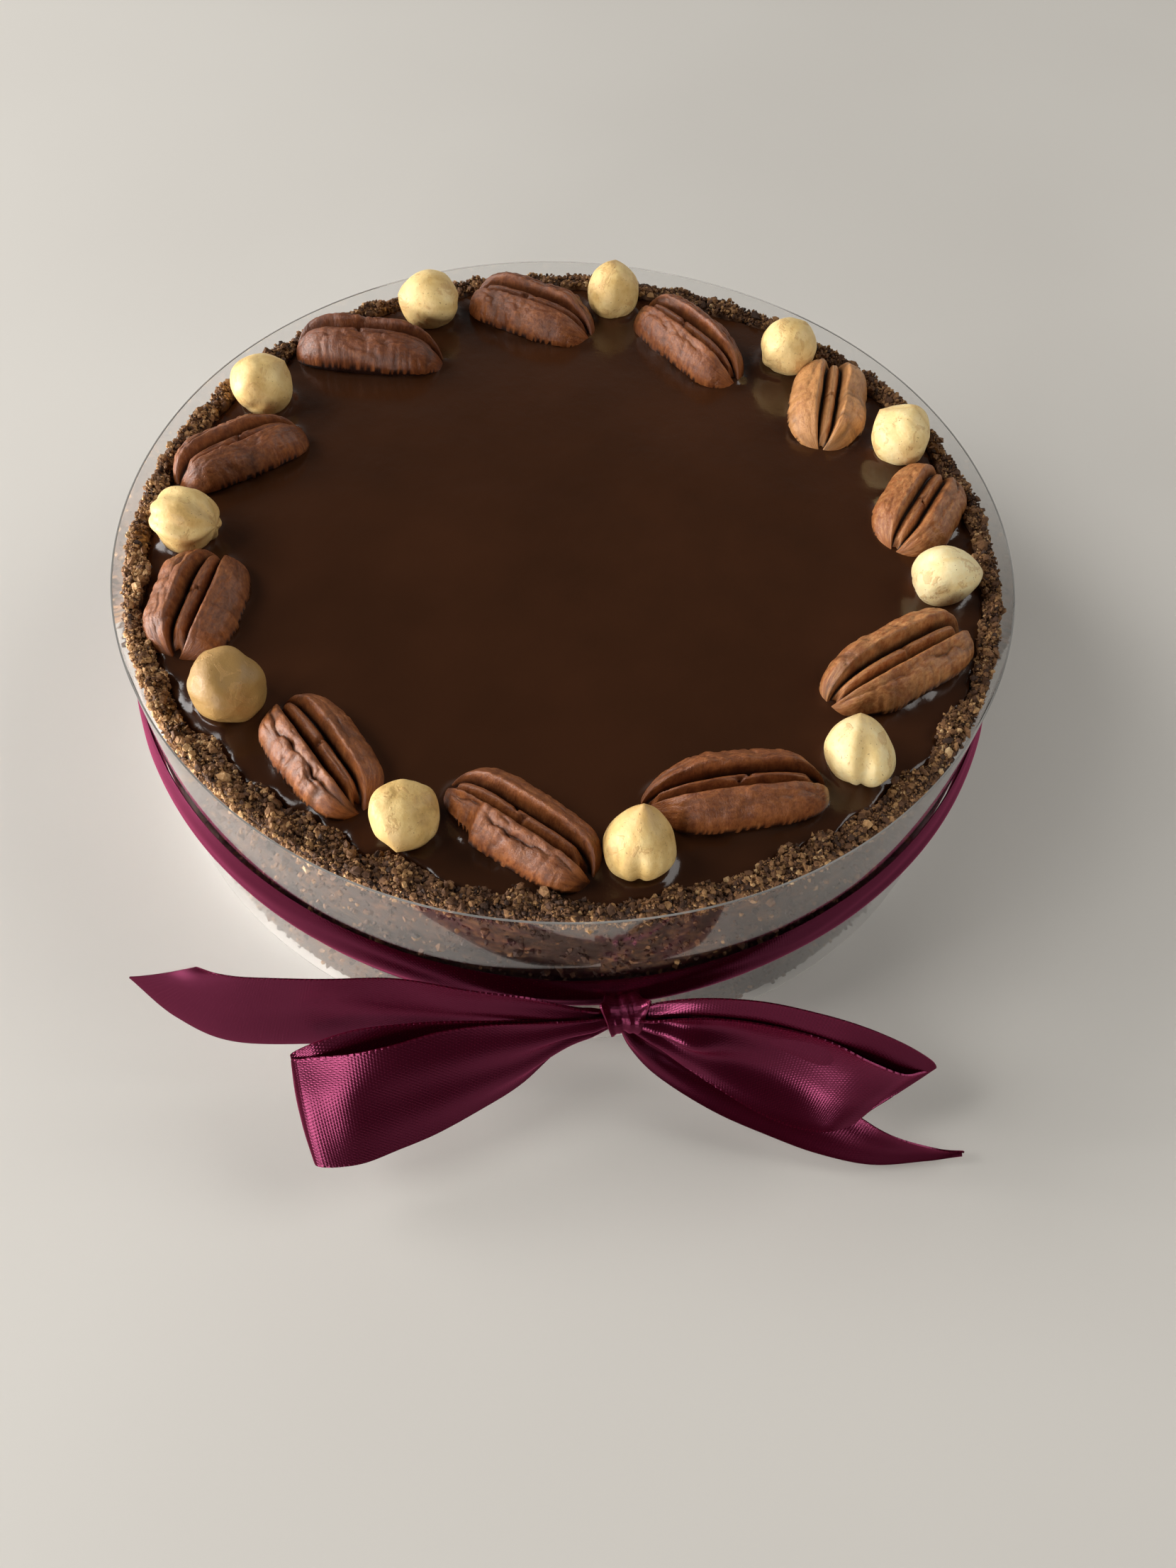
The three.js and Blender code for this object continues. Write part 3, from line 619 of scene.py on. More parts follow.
def pecan(name, seat, look, seed):
    """One pecan half, wrinkled in its own way."""
    at, out, length, width, turn, lean = seat
    tone_and_light, back_wrinkle, front_wrinkle, step_at, step, pleat_depth, worn, square, slide, waist = look
    sphere = bpy.ops.mesh.primitive_uv_sphere_add
    piece = blank(name, sphere, segments=PECAN_SEGMENTS, ring_count=PECAN_RINGS, radius=1)
    ball = points_of(piece) * MM
    along = np.clip(ball[:, 2], -1, 1)
    turned = np.mod(np.arctan2(ball[:, 1], ball[:, 0]), TURN) / TURN
    top = turned <= TOP_SHARE
    under = (turned - TOP_SHARE) / (1 - TOP_SHARE)
    across = np.where(top, 1 - 2 * turned / TOP_SHARE, 2 * under - 1)
    edge = np.abs(across)
    side = np.where(across > 0, 1.0, 0.0)
    wrinkle = np.where(across > 0, back_wrinkle, front_wrinkle)
    spots = np.stack([along * length / 2, across * width / 2, side * 20 + seed * 37.0], axis=1)
    wander = line_noise(along * 2.1 + side * 5, seed + 2)
    lane = RIDGE_HALF + 0.04 * wander + 0.02 * line_noise(along * 6 + side * 5, seed + 3)
    lobe = np.clip((edge - lane) / (1 - lane), 0, 1)
    on_lobe = np.clip(lobe / 0.15, 0, 1)
    patchy = np.clip(0.45 + 1.1 * soft_noise(spots / np.array([7, 5, 1]), seed + 4), 0, 1)
    long_fold = furrows(spots, LONG_FOLDS, seed + 10) * patchy * on_lobe
    small_fold = furrows(spots, SMALL_FOLDS, seed + 20) * on_lobe
    crimp = furrows(spots, CRIMPS, seed + 30) * np.clip(edge * 2 - 0.8, 0, 1) * on_lobe
    bulge = soft_noise(spots / np.array([5, 4, 1]), seed + 7) * on_lobe
    pleat_at = 0.46 + 0.1 * line_noise(along * 2.6 + side * 7, seed + 11)
    pleat_at += 0.2 * line_noise(along * 9 + side * 7, seed + 12)
    pleat_on = np.clip(0.6 + 0.9 * line_noise(along * 8 + side * 3, seed + 13), 0, 1) * (1 - along ** 6)
    off_pleat = np.abs(lobe - pleat_at)
    pleat = np.exp(-off_pleat / 0.06) * pleat_on * np.where(across > 0, BACK_PLEAT, pleat_depth)
    pucker = furrows(spots, PUCKERS, seed + 14) * np.exp(-((off_pleat / 0.22) ** 2)) * pleat_on
    ahead = 0.5 - 0.5 * np.tanh((along - step_at) / 0.05)
    narrow = np.where(across > 0, 0, step) * ahead * np.clip(edge * 2, 0, 1)
    slim = 1 - waist * side * np.clip(-along, 0, 1) ** 1.5
    blunt = np.where(along > 0, square, TRAILING_SQUARE)
    taper = np.sqrt(np.clip(1 - np.abs(along) ** blunt, 0, 1))
    ragged = 0.05 * line_noise(along * 3.4 + side * 9, seed + 1)
    ragged += 0.03 * line_noise(along * 9 + side * 9, seed + 6)
    reach = width / 2 * taper * slim * (1 - 0.05 * along - narrow) * (1 + wrinkle * (ragged - 0.025 * crimp))
    rise = length * PECAN_HEIGHT * (0.25 + 0.75 * taper) * np.sqrt(taper)
    roll = 1 - 0.55 * (1 - np.clip(lobe / 0.26, 0, 1)) ** 2
    gap = np.clip((along - 0.72) / 0.2, 0, 1) + np.clip((-0.86 - along) / 0.1, 0, 1)
    break_at = np.exp(-(((along - 0.25 * wander) / 0.03) ** 2))
    ridge = 0.45 + (0.36 - 0.3 * np.clip(gap + 0.5 * break_at, 0, 1)) * (1 - np.clip(edge / lane, 0, 1) ** 2)
    split = np.exp(-((across / 0.035) ** 2)) * np.clip(line_noise(along * 3, seed + 8), 0, 1)
    dome = 0.28 + 0.72 * np.sqrt(np.clip(1 - edge ** 2.4, 0, 1))
    crown = dome * np.where(edge < lane, ridge - 0.12 * split, roll)
    folds = np.stack([long_fold, small_fold, crimp])
    sunk = np.tensordot(FOLD_DEPTHS, folds, 1)
    crown += wrinkle * (BULGE_HEIGHT * bulge - sunk) - pleat - 0.5 * narrow
    crown -= np.where(across > 0, 0.3, 1) * PUCKER_DEPTH * pleat_depth * pucker
    notch = 1 - np.where(along > 0, 0.2, 0.1) * np.exp(-((across / 0.2) ** 2)) * np.abs(along) ** 8
    grainy = 0.11 * soft_noise(spots * np.array([0.45, 1, 1]) / 0.95, seed + 40)
    grainy += 0.06 * soft_noise(spots / 0.55, seed + 41)
    height = rise * np.where(top, np.maximum(crown * (0.6 + 0.4 * slim), LEAST_CROWN), 0.3 * edge ** 6)
    form = np.stack([
        along * length / 2 * np.where(top, notch, 1) - slide * across * reach,
        across * reach,
        height + grainy * np.where(top, taper, 0),
    ], axis=1)
    place = Matrix.Rotation(math.radians(at + 90 + turn), 3, "Z")
    place = place @ Matrix.Rotation(math.radians(lean), 3, "X")
    move_points(piece, form @ np.array(place).T + seat_at(at, out, GANACHE_LEVEL - PECAN_SINK))
    face_outwards()
    # Painted shade: darker in the grooves, the folds, the pleat and the split, and all over the flat
    # underside
    groove_shade = np.exp(-(((edge - lane) / GROOVE_HALF) ** 2))
    crease_shade = wrinkle * np.tensordot(FOLD_PAINTED_SHADES, folds, 1) + 3 * pleat
    mark(piece, "flesh", spots)
    mark(piece, "hollow_shade", np.where(top, np.clip(groove_shade + crease_shade + 0.5 * split, 0, 1), 1))
    mark(piece, "tone", np.full(len(form), tone_and_light))
    mark(piece, "worn", worn * np.clip((along - WORN_FROM) * 14, 0, 1) * np.where(across > 0, 0, 1) * on_lobe)
    return piece


pecan_flesh, shade = new_material("pecan_flesh")
flesh = shade.marked("flesh", "Vector")
hollow_shade = shade.marked("hollow_shade")
tone = shade.marked("tone")
worn = shade.marked("worn")
long_grain = shade.node("Mapping", {"Vector": flesh, "Scale": (0.5, 1.2, 1)})
streaks = long_grain.noise(1.5, 5, Roughness=0.68)
blotch = flesh.noise(0.28, 2)
pores = flesh.noise(2.6, 4, Roughness=0.7)
# The tone of each nut carries painted light on the pecans on the right
ripeness_and_light = (tone * 0.5 + streaks + blotch * 0.4 + pores * 0.5 - 0.76).clamped()
skin_colour = ripeness_and_light.ramp(
    (0.0, tint(72, 33, 15)),
    (0.35, tint(118, 63, 31)),
    (0.65, tint(160, 96, 51)),
    (1.0, tint(208, 150, 94)),
)
# Painted shade in the hollows, towards dark brown
depth = (hollow_shade * 1.15 - 0.05).clamped()
shaded = depth.between(skin_colour, tint(40, 18, 10))
wrinkle_bump = (streaks * 0.25 + pores * 0.6).bump(0.6, 0.0004)
surface(shade, {
    "Base Color": (worn * 0.85).between(shaded, tint(206, 168, 122)),
    "Roughness": 0.24 + pores * 0.3,
    "Normal": wrinkle_bump,
})
for number, (seat, look) in enumerate(zip(PECAN_SEATS, PECAN_LOOKS), 1):
    half = pecan(f"pecan_half_{number:02d}", seat, look, 100 + number * 10)
    half.data.materials.append(pecan_flesh)
    settle(half, "pecan", f"pecan_{number:02d}")


# Hazelnuts: eleven kernels, roasted and rubbed free of their skins, one between every two pecans. They are
# creamy, faintly ribbed or creased, with a pointed tip and flecks of brown skin left on them.
HAZELNUT_SINK = 1.8
HAZELNUT_SEGMENTS = 80
HAZELNUT_RINGS = 56
HAZELNUT_FACETS = 13
FACET_SHARE = 0.2
FACET_TURN = TURN * 0.381966
RIB_COUNT = 7
CREASE_HALF = 0.24
WRINKLES = (1, 1, 0.55, 0.2)
WRINKLE_DEPTH = 0.018
# Lumps: how many, how narrow, and how high at most
BROAD_LUMPS = ((7, 2.6, 0.12), (18, 11, 0.06))
FINE_LUMPS = (40, 45, 0.03)
# Paleness, height and breadth of the tip, depth of the ribs, depth of the crease, its place round the kernel,
# and how knobbly the kernel is
HAZELNUT_LOOKS = (
    (0.45, 0.16, 0.30, 0.010, 0.06, 20, 1.0),
    (0.40, 0.08, 0.30, 0.008, 0.05, 200, 0.8),
    (0.50, 0.14, 0.30, 0.012, 0.08, 90, 1.0),
    (0.70, 0.18, 0.30, 0.010, 0.06, 300, 1.0),
    (1.05, 0.12, 0.30, 0.008, 0.05, 40, 0.7),
    (0.80, 0.12, 0.30, 0.014, 0.20, 170, 1.2),
    (0.26, 0.28, 0.32, 0.008, 0.14, 170, 0.9),
    (0.26, 0.36, 0.45, 0.010, 0.10, 20, 1.4),
    (-0.80, 0.10, 0.30, 0.014, 0.06, 130, 1.4),
    (0.36, 0.04, 0.30, 0.060, 0.06, 60, 0.6),
    (0.45, 0.18, 0.30, 0.012, 0.06, 250, 1.0),
)


def facets(ball, count, draw):
    """How far out a ball reaches that is cut flat all round, with soft corners."""
    step = np.arange(count) + 0.5
    polar = np.arccos(1 - 2 * step / count)
    spiral = step * FACET_TURN
    level = np.sin(polar)
    heading = np.stack([np.cos(spiral) * level, np.sin(spiral) * level, np.cos(polar)], axis=1)
    heading += draw.normal(0, 0.2, heading.shape)
    heading /= np.linalg.norm(heading, axis=1)[:, None]
    lean = np.clip(ball @ heading.T, 0, None) / draw.uniform(0.94, 1.06, count)
    reach = (lean ** 8).sum(axis=1) ** (-1 / 8)
    return reach - reach.mean()


def knobs(ball, count, focus, height, draw):
    """Smooth swellings and dents, scattered over a ball."""
    total = np.zeros(len(ball))
    for _ in range(count):
        heading = draw.normal(size=3)
        heading /= np.linalg.norm(heading)
        total += draw.uniform(-height, height) * np.exp(focus * (ball @ heading - 1))
    return total


def hazelnut(name, seat, look, seed):
    """One blanched hazelnut, with its tip turned its own way."""
    at, out, size, stretch, yaw, tilt = seat
    paleness, tip, tip_reach, ribs, crease, crease_at, knobbly = look
    sphere = bpy.ops.mesh.primitive_uv_sphere_add
    piece = blank(name, sphere, segments=HAZELNUT_SEGMENTS, ring_count=HAZELNUT_RINGS, radius=1)
    ball = points_of(piece) * MM
    polar = np.arccos(np.clip(ball[:, 2], -1, 1))
    around = np.arctan2(ball[:, 1], ball[:, 0])
    draw = np.random.default_rng(seed)
    girth = np.sin(polar)
    bulk = 0.98 + tip * np.exp(-polar / tip_reach) - 0.1 * np.exp(-(((math.pi - polar) / 0.6) ** 2))
    bulk += sum(knobbly * knobs(ball, *lumps, draw) for lumps in BROAD_LUMPS)
    bulk += knobs(ball, *FINE_LUMPS, draw) + FACET_SHARE * knobbly * facets(ball, HAZELNUT_FACETS, draw)
    from_crease = np.abs((around - math.radians(crease_at) + math.pi) % TURN - math.pi)
    bulk -= crease * np.exp(-((from_crease / CREASE_HALF) ** 2)) * np.clip(polar - 0.7, 0, 1) * girth
    bulk += ribs * girth * np.cos(RIB_COUNT * around + 1.5 * soft_noise(ball * 1.5, seed))
    meridian = np.stack([ball[:, 0], ball[:, 1], 0.3 * ball[:, 2]], axis=1)
    wrinkle = furrows(meridian, WRINKLES, seed + 20) * girth
    bulk -= WRINKLE_DEPTH * wrinkle
    form = ball * (bulk * size / 2)[:, None] * np.array([1, 1, stretch])
    place = Matrix.Rotation(math.radians(yaw), 3, "Z") @ Matrix.Rotation(math.radians(tilt), 3, "Y")
    level = GANACHE_LEVEL - HAZELNUT_SINK + size / 2
    move_points(piece, form @ np.array(place).T + seat_at(at, out, level))
    bpy.ops.object.shade_smooth()
    mark(piece, "flesh", ball * 6 + seed * 11.0)
    mark(piece, "tone", np.full(len(ball), paleness))
    # Painted shade in the wrinkles
    mark(piece, "hollow_shade", wrinkle)
    mark(piece, "pole", np.clip(1 - polar / 0.7, 0, 1) + np.clip(1 - (math.pi - polar) / 0.8, 0, 1))
    return piece


kernel, shade = new_material("hazelnut_kernel")
flesh = shade.marked("flesh", "Vector")
pole = shade.marked("pole")
cloud = flesh.noise(0.22, 3)
veins = flesh.noise(1.1, 4, Roughness=0.6)
flecks = flesh.noise(2.6, 1)
patches = flesh.noise(0.3, 4, Roughness=0.65, Distortion=0.6)
tone = shade.marked("tone")
hollow_shade = shade.marked("hollow_shade")
# Paleness, less a little painted shade in the wrinkles
pale = (tone * 0.6 + cloud * 0.6 + veins * 0.4 - hollow_shade * 0.15 - 0.28).clamped()
cream = pale.ramp(
    (0.0, tint(172, 134, 76)),
    (0.25, tint(222, 184, 114)),
    (0.6, tint(246, 217, 152)),
    (1.0, tint(255, 242, 194)),
)
skin = ((patches - 0.56) * 16).clamped()
rind = skin * (1 - skin) * 4
bare = (skin * 0.45 + rind * 0.2).clamped().between(cream, tint(204, 158, 96))
stain = ((pole * 1.2) * (veins * 2.2 - 0.5)).clamped()
toasted = (stain * 0.6).clamped().between(bare, tint(178, 128, 70))
fleck = ((flecks - 0.7) * 14).clamped()
fine_bump = (veins + skin * 0.5).bump(0.35, 0.0003)
surface(shade, {
    "Base Color": (fleck * 0.7).between(toasted, tint(130, 84, 44)),
    "Roughness": 0.42 + veins * 0.16,
    "Subsurface Weight": 0.05,
    "Subsurface Radius": (1.0, 0.6, 0.3),
    "Subsurface Scale": 0.002,
    "Normal": fine_bump,
})
for number, (seat, look) in enumerate(zip(HAZELNUT_SEATS, HAZELNUT_LOOKS), 1):
    nut = hazelnut(f"hazelnut_kernel_{number:02d}", seat, look, 300 + number * 10)
    nut.data.materials.append(kernel)
    settle(nut, "hazelnut", f"hazelnut_{number:02d}")


# Film collar: a strip of clear stiff film wrapped once round the cake, a little taller than the crust. It
# mirrors its surroundings at a slant and shows the crumbs through it.
FILM_OUTSIDE = 82.8
FILM_THICKNESS = 0.3
FILM_HEIGHT = 46.0
FILM_EDGE = 0.12
FILM_ROWS = 13
FILM_STEPS = 360
film_profile = []
film_rows = [*np.linspace(0, FILM_HEIGHT - FILM_EDGE, FILM_ROWS), FILM_HEIGHT]
for height in film_rows:
    film_profile.append((FILM_OUTSIDE, height))
for height in reversed(film_rows):
    film_profile.append((FILM_OUTSIDE - FILM_THICKNESS, height))
collar = spun("film_collar", film_profile, FILM_STEPS)
spots = points_of(collar)
angle = np.arctan2(spots[:, 1], spots[:, 0])
sway = 0.12 * np.sin(3 * angle + 1) + 0.08 * np.sin(7 * angle + 2)
spots[:, :2] *= (1 + sway * spots[:, 2] / FILM_HEIGHT / FILM_OUTSIDE)[:, None]
move_points(collar, spots)
bpy.ops.object.shade_smooth_by_angle(angle=math.radians(40))
clear_film, shade = new_material("clear_film")
where = shade.node("TexCoord", output="Object")
ripple = where.noise(45, 1)
ripple_bump = ripple.bump(0.12, 0.0006)
glassy = shade.node("BsdfPrincipled", {
    "Base Color": (0.97, 0.97, 0.97, 1),
    "Roughness": 0.03 + ripple * 0.03,
    "Transmission Weight": 1.0,
    "IOR": 1.57,
    "Normal": ripple_bump,
})
passing = shade.node("BsdfTransparent", {"Color": (0.94, 0.94, 0.94, 1)})
lamp_ray = shade.node("LightPath", output="Is Shadow Ray")
shade.node("OutputMaterial", {"Surface": shade.node("MixShader", {0: lamp_ray, 1: glassy, 2: passing})})
collar.data.materials.append(clear_film)
cut_edge, shade = new_material("film_cut_edge")
where = shade.node("TexCoord", output="Object")
nick = where.noise(60, 1)
surface(shade, {
    "Base Color": nick.between(tint(205, 203, 198), tint(240, 238, 233)),
    "Roughness": 0.35,
    "Alpha": 0.3 + nick * 0.1,
})
collar.data.materials.append(cut_edge)
for face in collar.data.polygons:
    if face.center.z > (FILM_HEIGHT - FILM_EDGE) * MM:
        face.material_index = 1
settle(collar, "film", "collar")


# Satin ribbon: a length of burgundy ribbon, folded double round the collar and tied at the front in a bow
# with two loops and two tails. The weave is smooth on both sides, with a firm edge.
RIBBON_WIDTH = 20.0
RIBBON_THICKNESS = 0.3
RIBBON_SEAM = 1e-5
STRIP_ROWS = (150, 22)
BAND_ROWS = (720, 40)
KNOT_ROWS = (96, 28)
GATHER_REACH = 13
GATHER_DEPTH = 1.1
GATHER_FOLDS = 2.4
RIPPLE_DEPTH = 0.35
LEAST_DISH = 0.4
LOOP_START = 0.14
LOOP_EASE = 0.28
TWILL_PITCH = 0.62
PICOT_PITCH = 0.9
BAND_INSIDE = 83.0
BAND_TOP = 27.7
BAND_HALF = 4.9
BAND_SPREAD = 0.45
BAND_WIDEST = math.radians(215)
BAND_GAP = 0.2
BAND_ROLL = 1.1
BAND_CREASE = 0.4
KNOT_ANGLE = math.radians(-80)
KNOT_OUT = 87.9
KNOT_LEVEL = 23.2
KNOT_SIZE = (6.4, 6.2, 5.6)
EAR_HEIGHT = 2.8
EAR_PLACE = 1.35
# The upper and the lower edge of each free strip, from the knot outwards
LEFT_TAIL = (
    ((13.9, -86.8, 24.8), (13.9, -86.7, 21.3)),
    ((8, -88.4, 28.2), (8, -88.6, 19.2)),
    ((-1.8, -89, 32.6), (-1.8, -89.9, 17.2)),
    ((-16.4, -89, 35.5), (-16.4, -91.6, 17.4)),
    ((-30, -89.5, 35.9), (-33, -92.5, 17.1)),
    ((-41.7, -90.3, 35.4), (-47.7, -93.9, 18)),
    ((-47.6, -89.9, 35), (-56.5, -92.3, 22.9)),
    ((-51.5, -88.7, 34.6), (-62.8, -89.3, 30.3)),
)
LEFT_LOOP = (
    ((13.9, -88.2, 24.8), (13.9, -88.1, 21.3)),
    ((8.5, -89.9, 26), (6.5, -90.6, 17.5)),
    ((0.7, -91.2, 27), (-0.6, -96.6, 14)),
    ((-6, -92.1, 27.2), (-7.2, -101.2, 13)),
    ((-14, -93.6, 27), (-13.5, -105, 12.2)),
    ((-21.1, -96, 26.5), (-19.2, -107.7, 11.6)),
    ((-27.5, -97.6, 25.5), (-24.4, -110, 11.2)),
    ((-33.3, -98.1, 24.3), (-28.6, -110.9, 11)),
    ((-36, -98.3, 23.7), (-31.6, -111.1, 11)),
    ((-37, -97.7, 23.6), (-32.5, -110.5, 11)),
    ((-36, -97, 24.2), (-31.6, -109.6, 11.3)),
    ((-32.8, -96.1, 25.9), (-28.8, -108, 11.9)),
    ((-27, -94.2, 27), (-24.4, -105.3, 12.4)),
    ((-20, -92.8, 27), (-18.3, -102.1, 13.1)),
    ((-13, -91.8, 27), (-12.2, -98.9, 14)),
    ((-4, -90.8, 26.8), (-4.3, -94.6, 15.7)),
    ((4, -89.6, 26), (4.6, -90.4, 18.8)),
    ((13.9, -87.6, 24.8), (13.9, -87.5, 21.3)),
)
RIGHT_LOOP = (
    ((16.4, -88.1, 24.8), (16.4, -88.1, 21.3)),
    ((20.2, -88.3, 26.4), (19.8, -89.3, 19)),
    ((26, -88.3, 27.7), (26.6, -92.6, 16)),
    ((36, -88.8, 28.3), (36.5, -96.8, 12.7)),
    ((46.9, -90.4, 27.6), (43.6, -99.3, 11.4)),
    ((54.5, -93, 26.2), (48, -100, 11.2)),
    ((60.2, -94, 24), (50.7, -99.9, 11.5)),
    ((63.6, -93.2, 23), (53.2, -99, 11.7)),
    ((65.8, -92.3, 22.6), (55, -98, 12)),
    ((65.2, -91.4, 24.2), (55, -96.8, 12.7)),
    ((60.1, -90.6, 28), (51.5, -95, 13.5)),
    ((52.8, -89.6, 31), (47.5, -93.1, 14.4)),
    ((46, -88.5, 32), (43.2, -91.4, 15.1)),
    ((36, -87.4, 32.3), (35.9, -89.4, 16.2)),
    ((26.2, -87, 30.4), (26.7, -87.7, 17.7)),
    ((16.4, -87, 24.8), (16.4, -86.9, 21.3)),
)
RIGHT_TAIL = (
    ((15.9, -87.2, 23.3), (14.9, -87.7, 19.8)),
    ((19.8, -86.7, 19.8), (17.3, -89.7, 15.2)),
    ((26.7, -86.1, 15.8), (22.3, -92, 9.6)),
    ((35.7, -85.9, 11.9), (32.2, -95.8, 5.4)),
    ((45.6, -89.3, 9.8), (41.7, -98.8, 3.9)),
    ((54.7, -95.1, 9), (50.3, -101, 3)),
    ((61.7, -98.7, 7.9), (59.8, -102.1, 2.5)),
    ((69.9, -99.7, 5.5), (68.9, -101.1, 2.5)),
    ((75.3, -99.5, 4.1), (75.1, -99.9, 3.3)),
)


def smooth_path(points, along):
    """Places on a smooth curve through points, along from 0 to 1."""
    points = np.array(points, float)
    padded = np.concatenate([[2 * points[0] - points[1]], points, [2 * points[-1] - points[-2]]])
    run = along * (len(points) - 1)
    start = np.clip(np.floor(run).astype(int), 0, len(points) - 2)
    t = (run - start)[:, None]
    a, b, c, d = (padded[start + k] for k in range(4))
    return b + t / 2 * (c - a + t * (2 * a - 5 * b + 4 * c - d + t * (3 * (b - c) + d - a)))


def cloth_grid(name, rows, form):
    """A flat grid of ribbon laid into its form, with its weave running along it."""
    grid = bpy.ops.mesh.primitive_grid_add
    piece = blank(name, grid, x_subdivisions=rows[0], y_subdivisions=rows[1], size=2)
    flat = points_of(piece) * MM
    along = (flat[:, 0] + 1) / 2
    across = (flat[:, 1] + 1) / 2
    spots, run = form(along, across)
    move_points(piece, spots)
    owner = np.empty(len(piece.data.loops), dtype=np.int32)
    piece.data.loops.foreach_get("vertex_index", owner)
    weave = np.stack([run / RIBBON_WIDTH, across], axis=1)[owner]
    piece.data.uv_layers[0].name = "weave"
    piece.data.uv_layers[0].data.foreach_set("uv", weave.ravel())
    return piece


def thicken(piece):
    """Gives the cloth its thickness."""
    solid = piece.modifiers.new("thickness", "SOLIDIFY")
    solid.thickness = RIBBON_THICKNESS * MM
    solid.offset = 0
    bpy.ops.object.modifier_apply(modifier=solid.name)
    bpy.ops.object.shade_smooth_by_angle(angle=math.radians(50))


def strip(name, stations, seed, loop=False, dish=0.5, bulge=0.0, turn_at=0.45):
    """A free strip of ribbon between two smooth edges, gathered towards the knot and dished between them."""
    upper = [station[0] for station in stations]
    lower = [station[1] for station in stations]

    def form(along, across):
        def mid(share):
            return smooth_path(upper, share) * 0.5 + smooth_path(lower, share) * 0.5

        high = smooth_path(upper, along)
        low = smooth_path(lower, along)
        step = 0.004
        heading = mid(np.clip(along + step, 0, 1)) - mid(np.clip(along - step, 0, 1))
        facing = np.cross(heading, low - high)
        facing /= np.linalg.norm(facing, axis=1)[:, None] + 1e-9
        table = np.linspace(0, 1, 400)
        lengths = np.concatenate([[0], np.cumsum(np.linalg.norm(np.diff(mid(table), axis=0), axis=1))])
        run = np.interp(along, table, lengths)
        left = np.minimum(run, lengths[-1] - run) if loop else run
        gather = np.exp(-left / GATHER_REACH)
        pleats = np.cos(TURN * (across * GATHER_FOLDS + 0.15 * seed))
        folds = gather * GATHER_DEPTH * pleats * np.clip(left / 4, 0, 1)
        ripple = RIPPLE_DEPTH * soft_noise(np.stack([run / 12, across * 2, across * 0 + seed], axis=1), seed)
        front = np.clip(along / LOOP_START, 0, 1) * np.clip((turn_at - along) / LOOP_EASE, 0, 1) * loop
        front = front * front * (3 - 2 * front)
        dished = LEAST_DISH + (dish - LEAST_DISH) * front
        bow = dished * (1 - (2 * across - 1) ** 2) ** 0.8 * (1 - gather)
        swell = bulge * np.exp(-((run - 11) / 5) ** 2 - ((across - 0.45) / 0.28) ** 2)
        return high + (low - high) * across[:, None] + facing * (folds + ripple + bow - swell)[:, None], run

    piece = cloth_grid(name, STRIP_ROWS, form)
    thicken(piece)
    return piece


def band_form(along, across):
    """The band: the ribbon folded lengthwise in two, its fold upwards, with a few slack creases."""
    angle = KNOT_ANGLE + TURN * along
    apart = (angle - KNOT_ANGLE + math.pi) % TURN - math.pi
    drawn = np.exp(-((apart / 0.22) ** 2))
    spread = BAND_HALF + BAND_SPREAD * np.cos(angle - BAND_WIDEST)
    half = spread * (1 - 0.4 * drawn)
    level = BAND_TOP - spread + (KNOT_LEVEL - BAND_TOP + spread) * drawn
    climb = 1 - np.abs(2 * across - 1)
    layer = 0.5 + 0.5 * np.cos(math.pi * np.clip((across - 0.5) / 0.1 + 0.5, 0, 1))
    ring = np.stack([np.cos(angle) * 3.2, np.sin(angle) * 3.2, climb * 1.6], axis=1)
    wander = soft_noise(ring, 61) * 0.3 + soft_noise(ring * 2.3, 62) * 0.1
    crease = BAND_CREASE * (0.5 - 0.5 * np.cos(TURN * (climb * 1.7 + wander))) * np.sin(math.pi * climb)
    roll = BAND_ROLL * np.sin(math.pi * climb) ** 2
    out = BAND_INSIDE + RIBBON_THICKNESS / 2 + layer * (BAND_GAP + roll + crease + 1.2 * drawn)
    rounded = np.sin(climb * math.pi / 2) * 0.12 + climb * 0.88
    height = level + half * (2 * rounded - 1) + 0.2 * soft_noise(ring * 1.7, 63)
    return np.stack([out * np.cos(angle), out * np.sin(angle), height], axis=1), along * TURN * BAND_INSIDE


band = cloth_grid("ribbon_band", BAND_ROWS, band_form)
mend(RIBBON_SEAM)
thicken(band)
bow_parts = [
    strip("left_tail", LEFT_TAIL, 1),
    strip("left_loop", LEFT_LOOP, 2, loop=True, dish=0.5),
    strip("right_loop", RIGHT_LOOP, 3, loop=True, dish=2.9, bulge=2.6, turn_at=0.5),
    strip("right_tail", RIGHT_TAIL, 4),
]


def knot_form(along, across):
    """The knot: the ribbon drawn once round the middle of the bow, its edges standing up in small ears."""
    angle = TURN * along - math.pi
    side = 2 * across - 1
    ear = np.exp(-(((angle - EAR_PLACE) / 0.42) ** 2)) * np.abs(side) ** 7
    fold = 0.3 * np.cos(TURN * 1.2 * across + 0.9 * np.sin(angle))
    fold += 0.14 * np.cos(TURN * 3.2 * across + angle)
    spots = np.stack([
        side * KNOT_SIZE[0] / 2 * (0.78 + 0.2 * np.sin(angle) + 0.3 * ear),
        -np.cos(angle) * (KNOT_SIZE[1] / 2 + fold),
        np.sin(angle) * (KNOT_SIZE[2] / 2 + fold) + EAR_HEIGHT * ear,
    ], axis=1)
    place = Matrix.Rotation(KNOT_ANGLE + math.pi / 2, 3, "Z")
    middle = np.array([KNOT_OUT * math.cos(KNOT_ANGLE), KNOT_OUT * math.sin(KNOT_ANGLE), KNOT_LEVEL])
    return spots @ np.array(place).T + middle, along * TURN * KNOT_SIZE[2] / 2


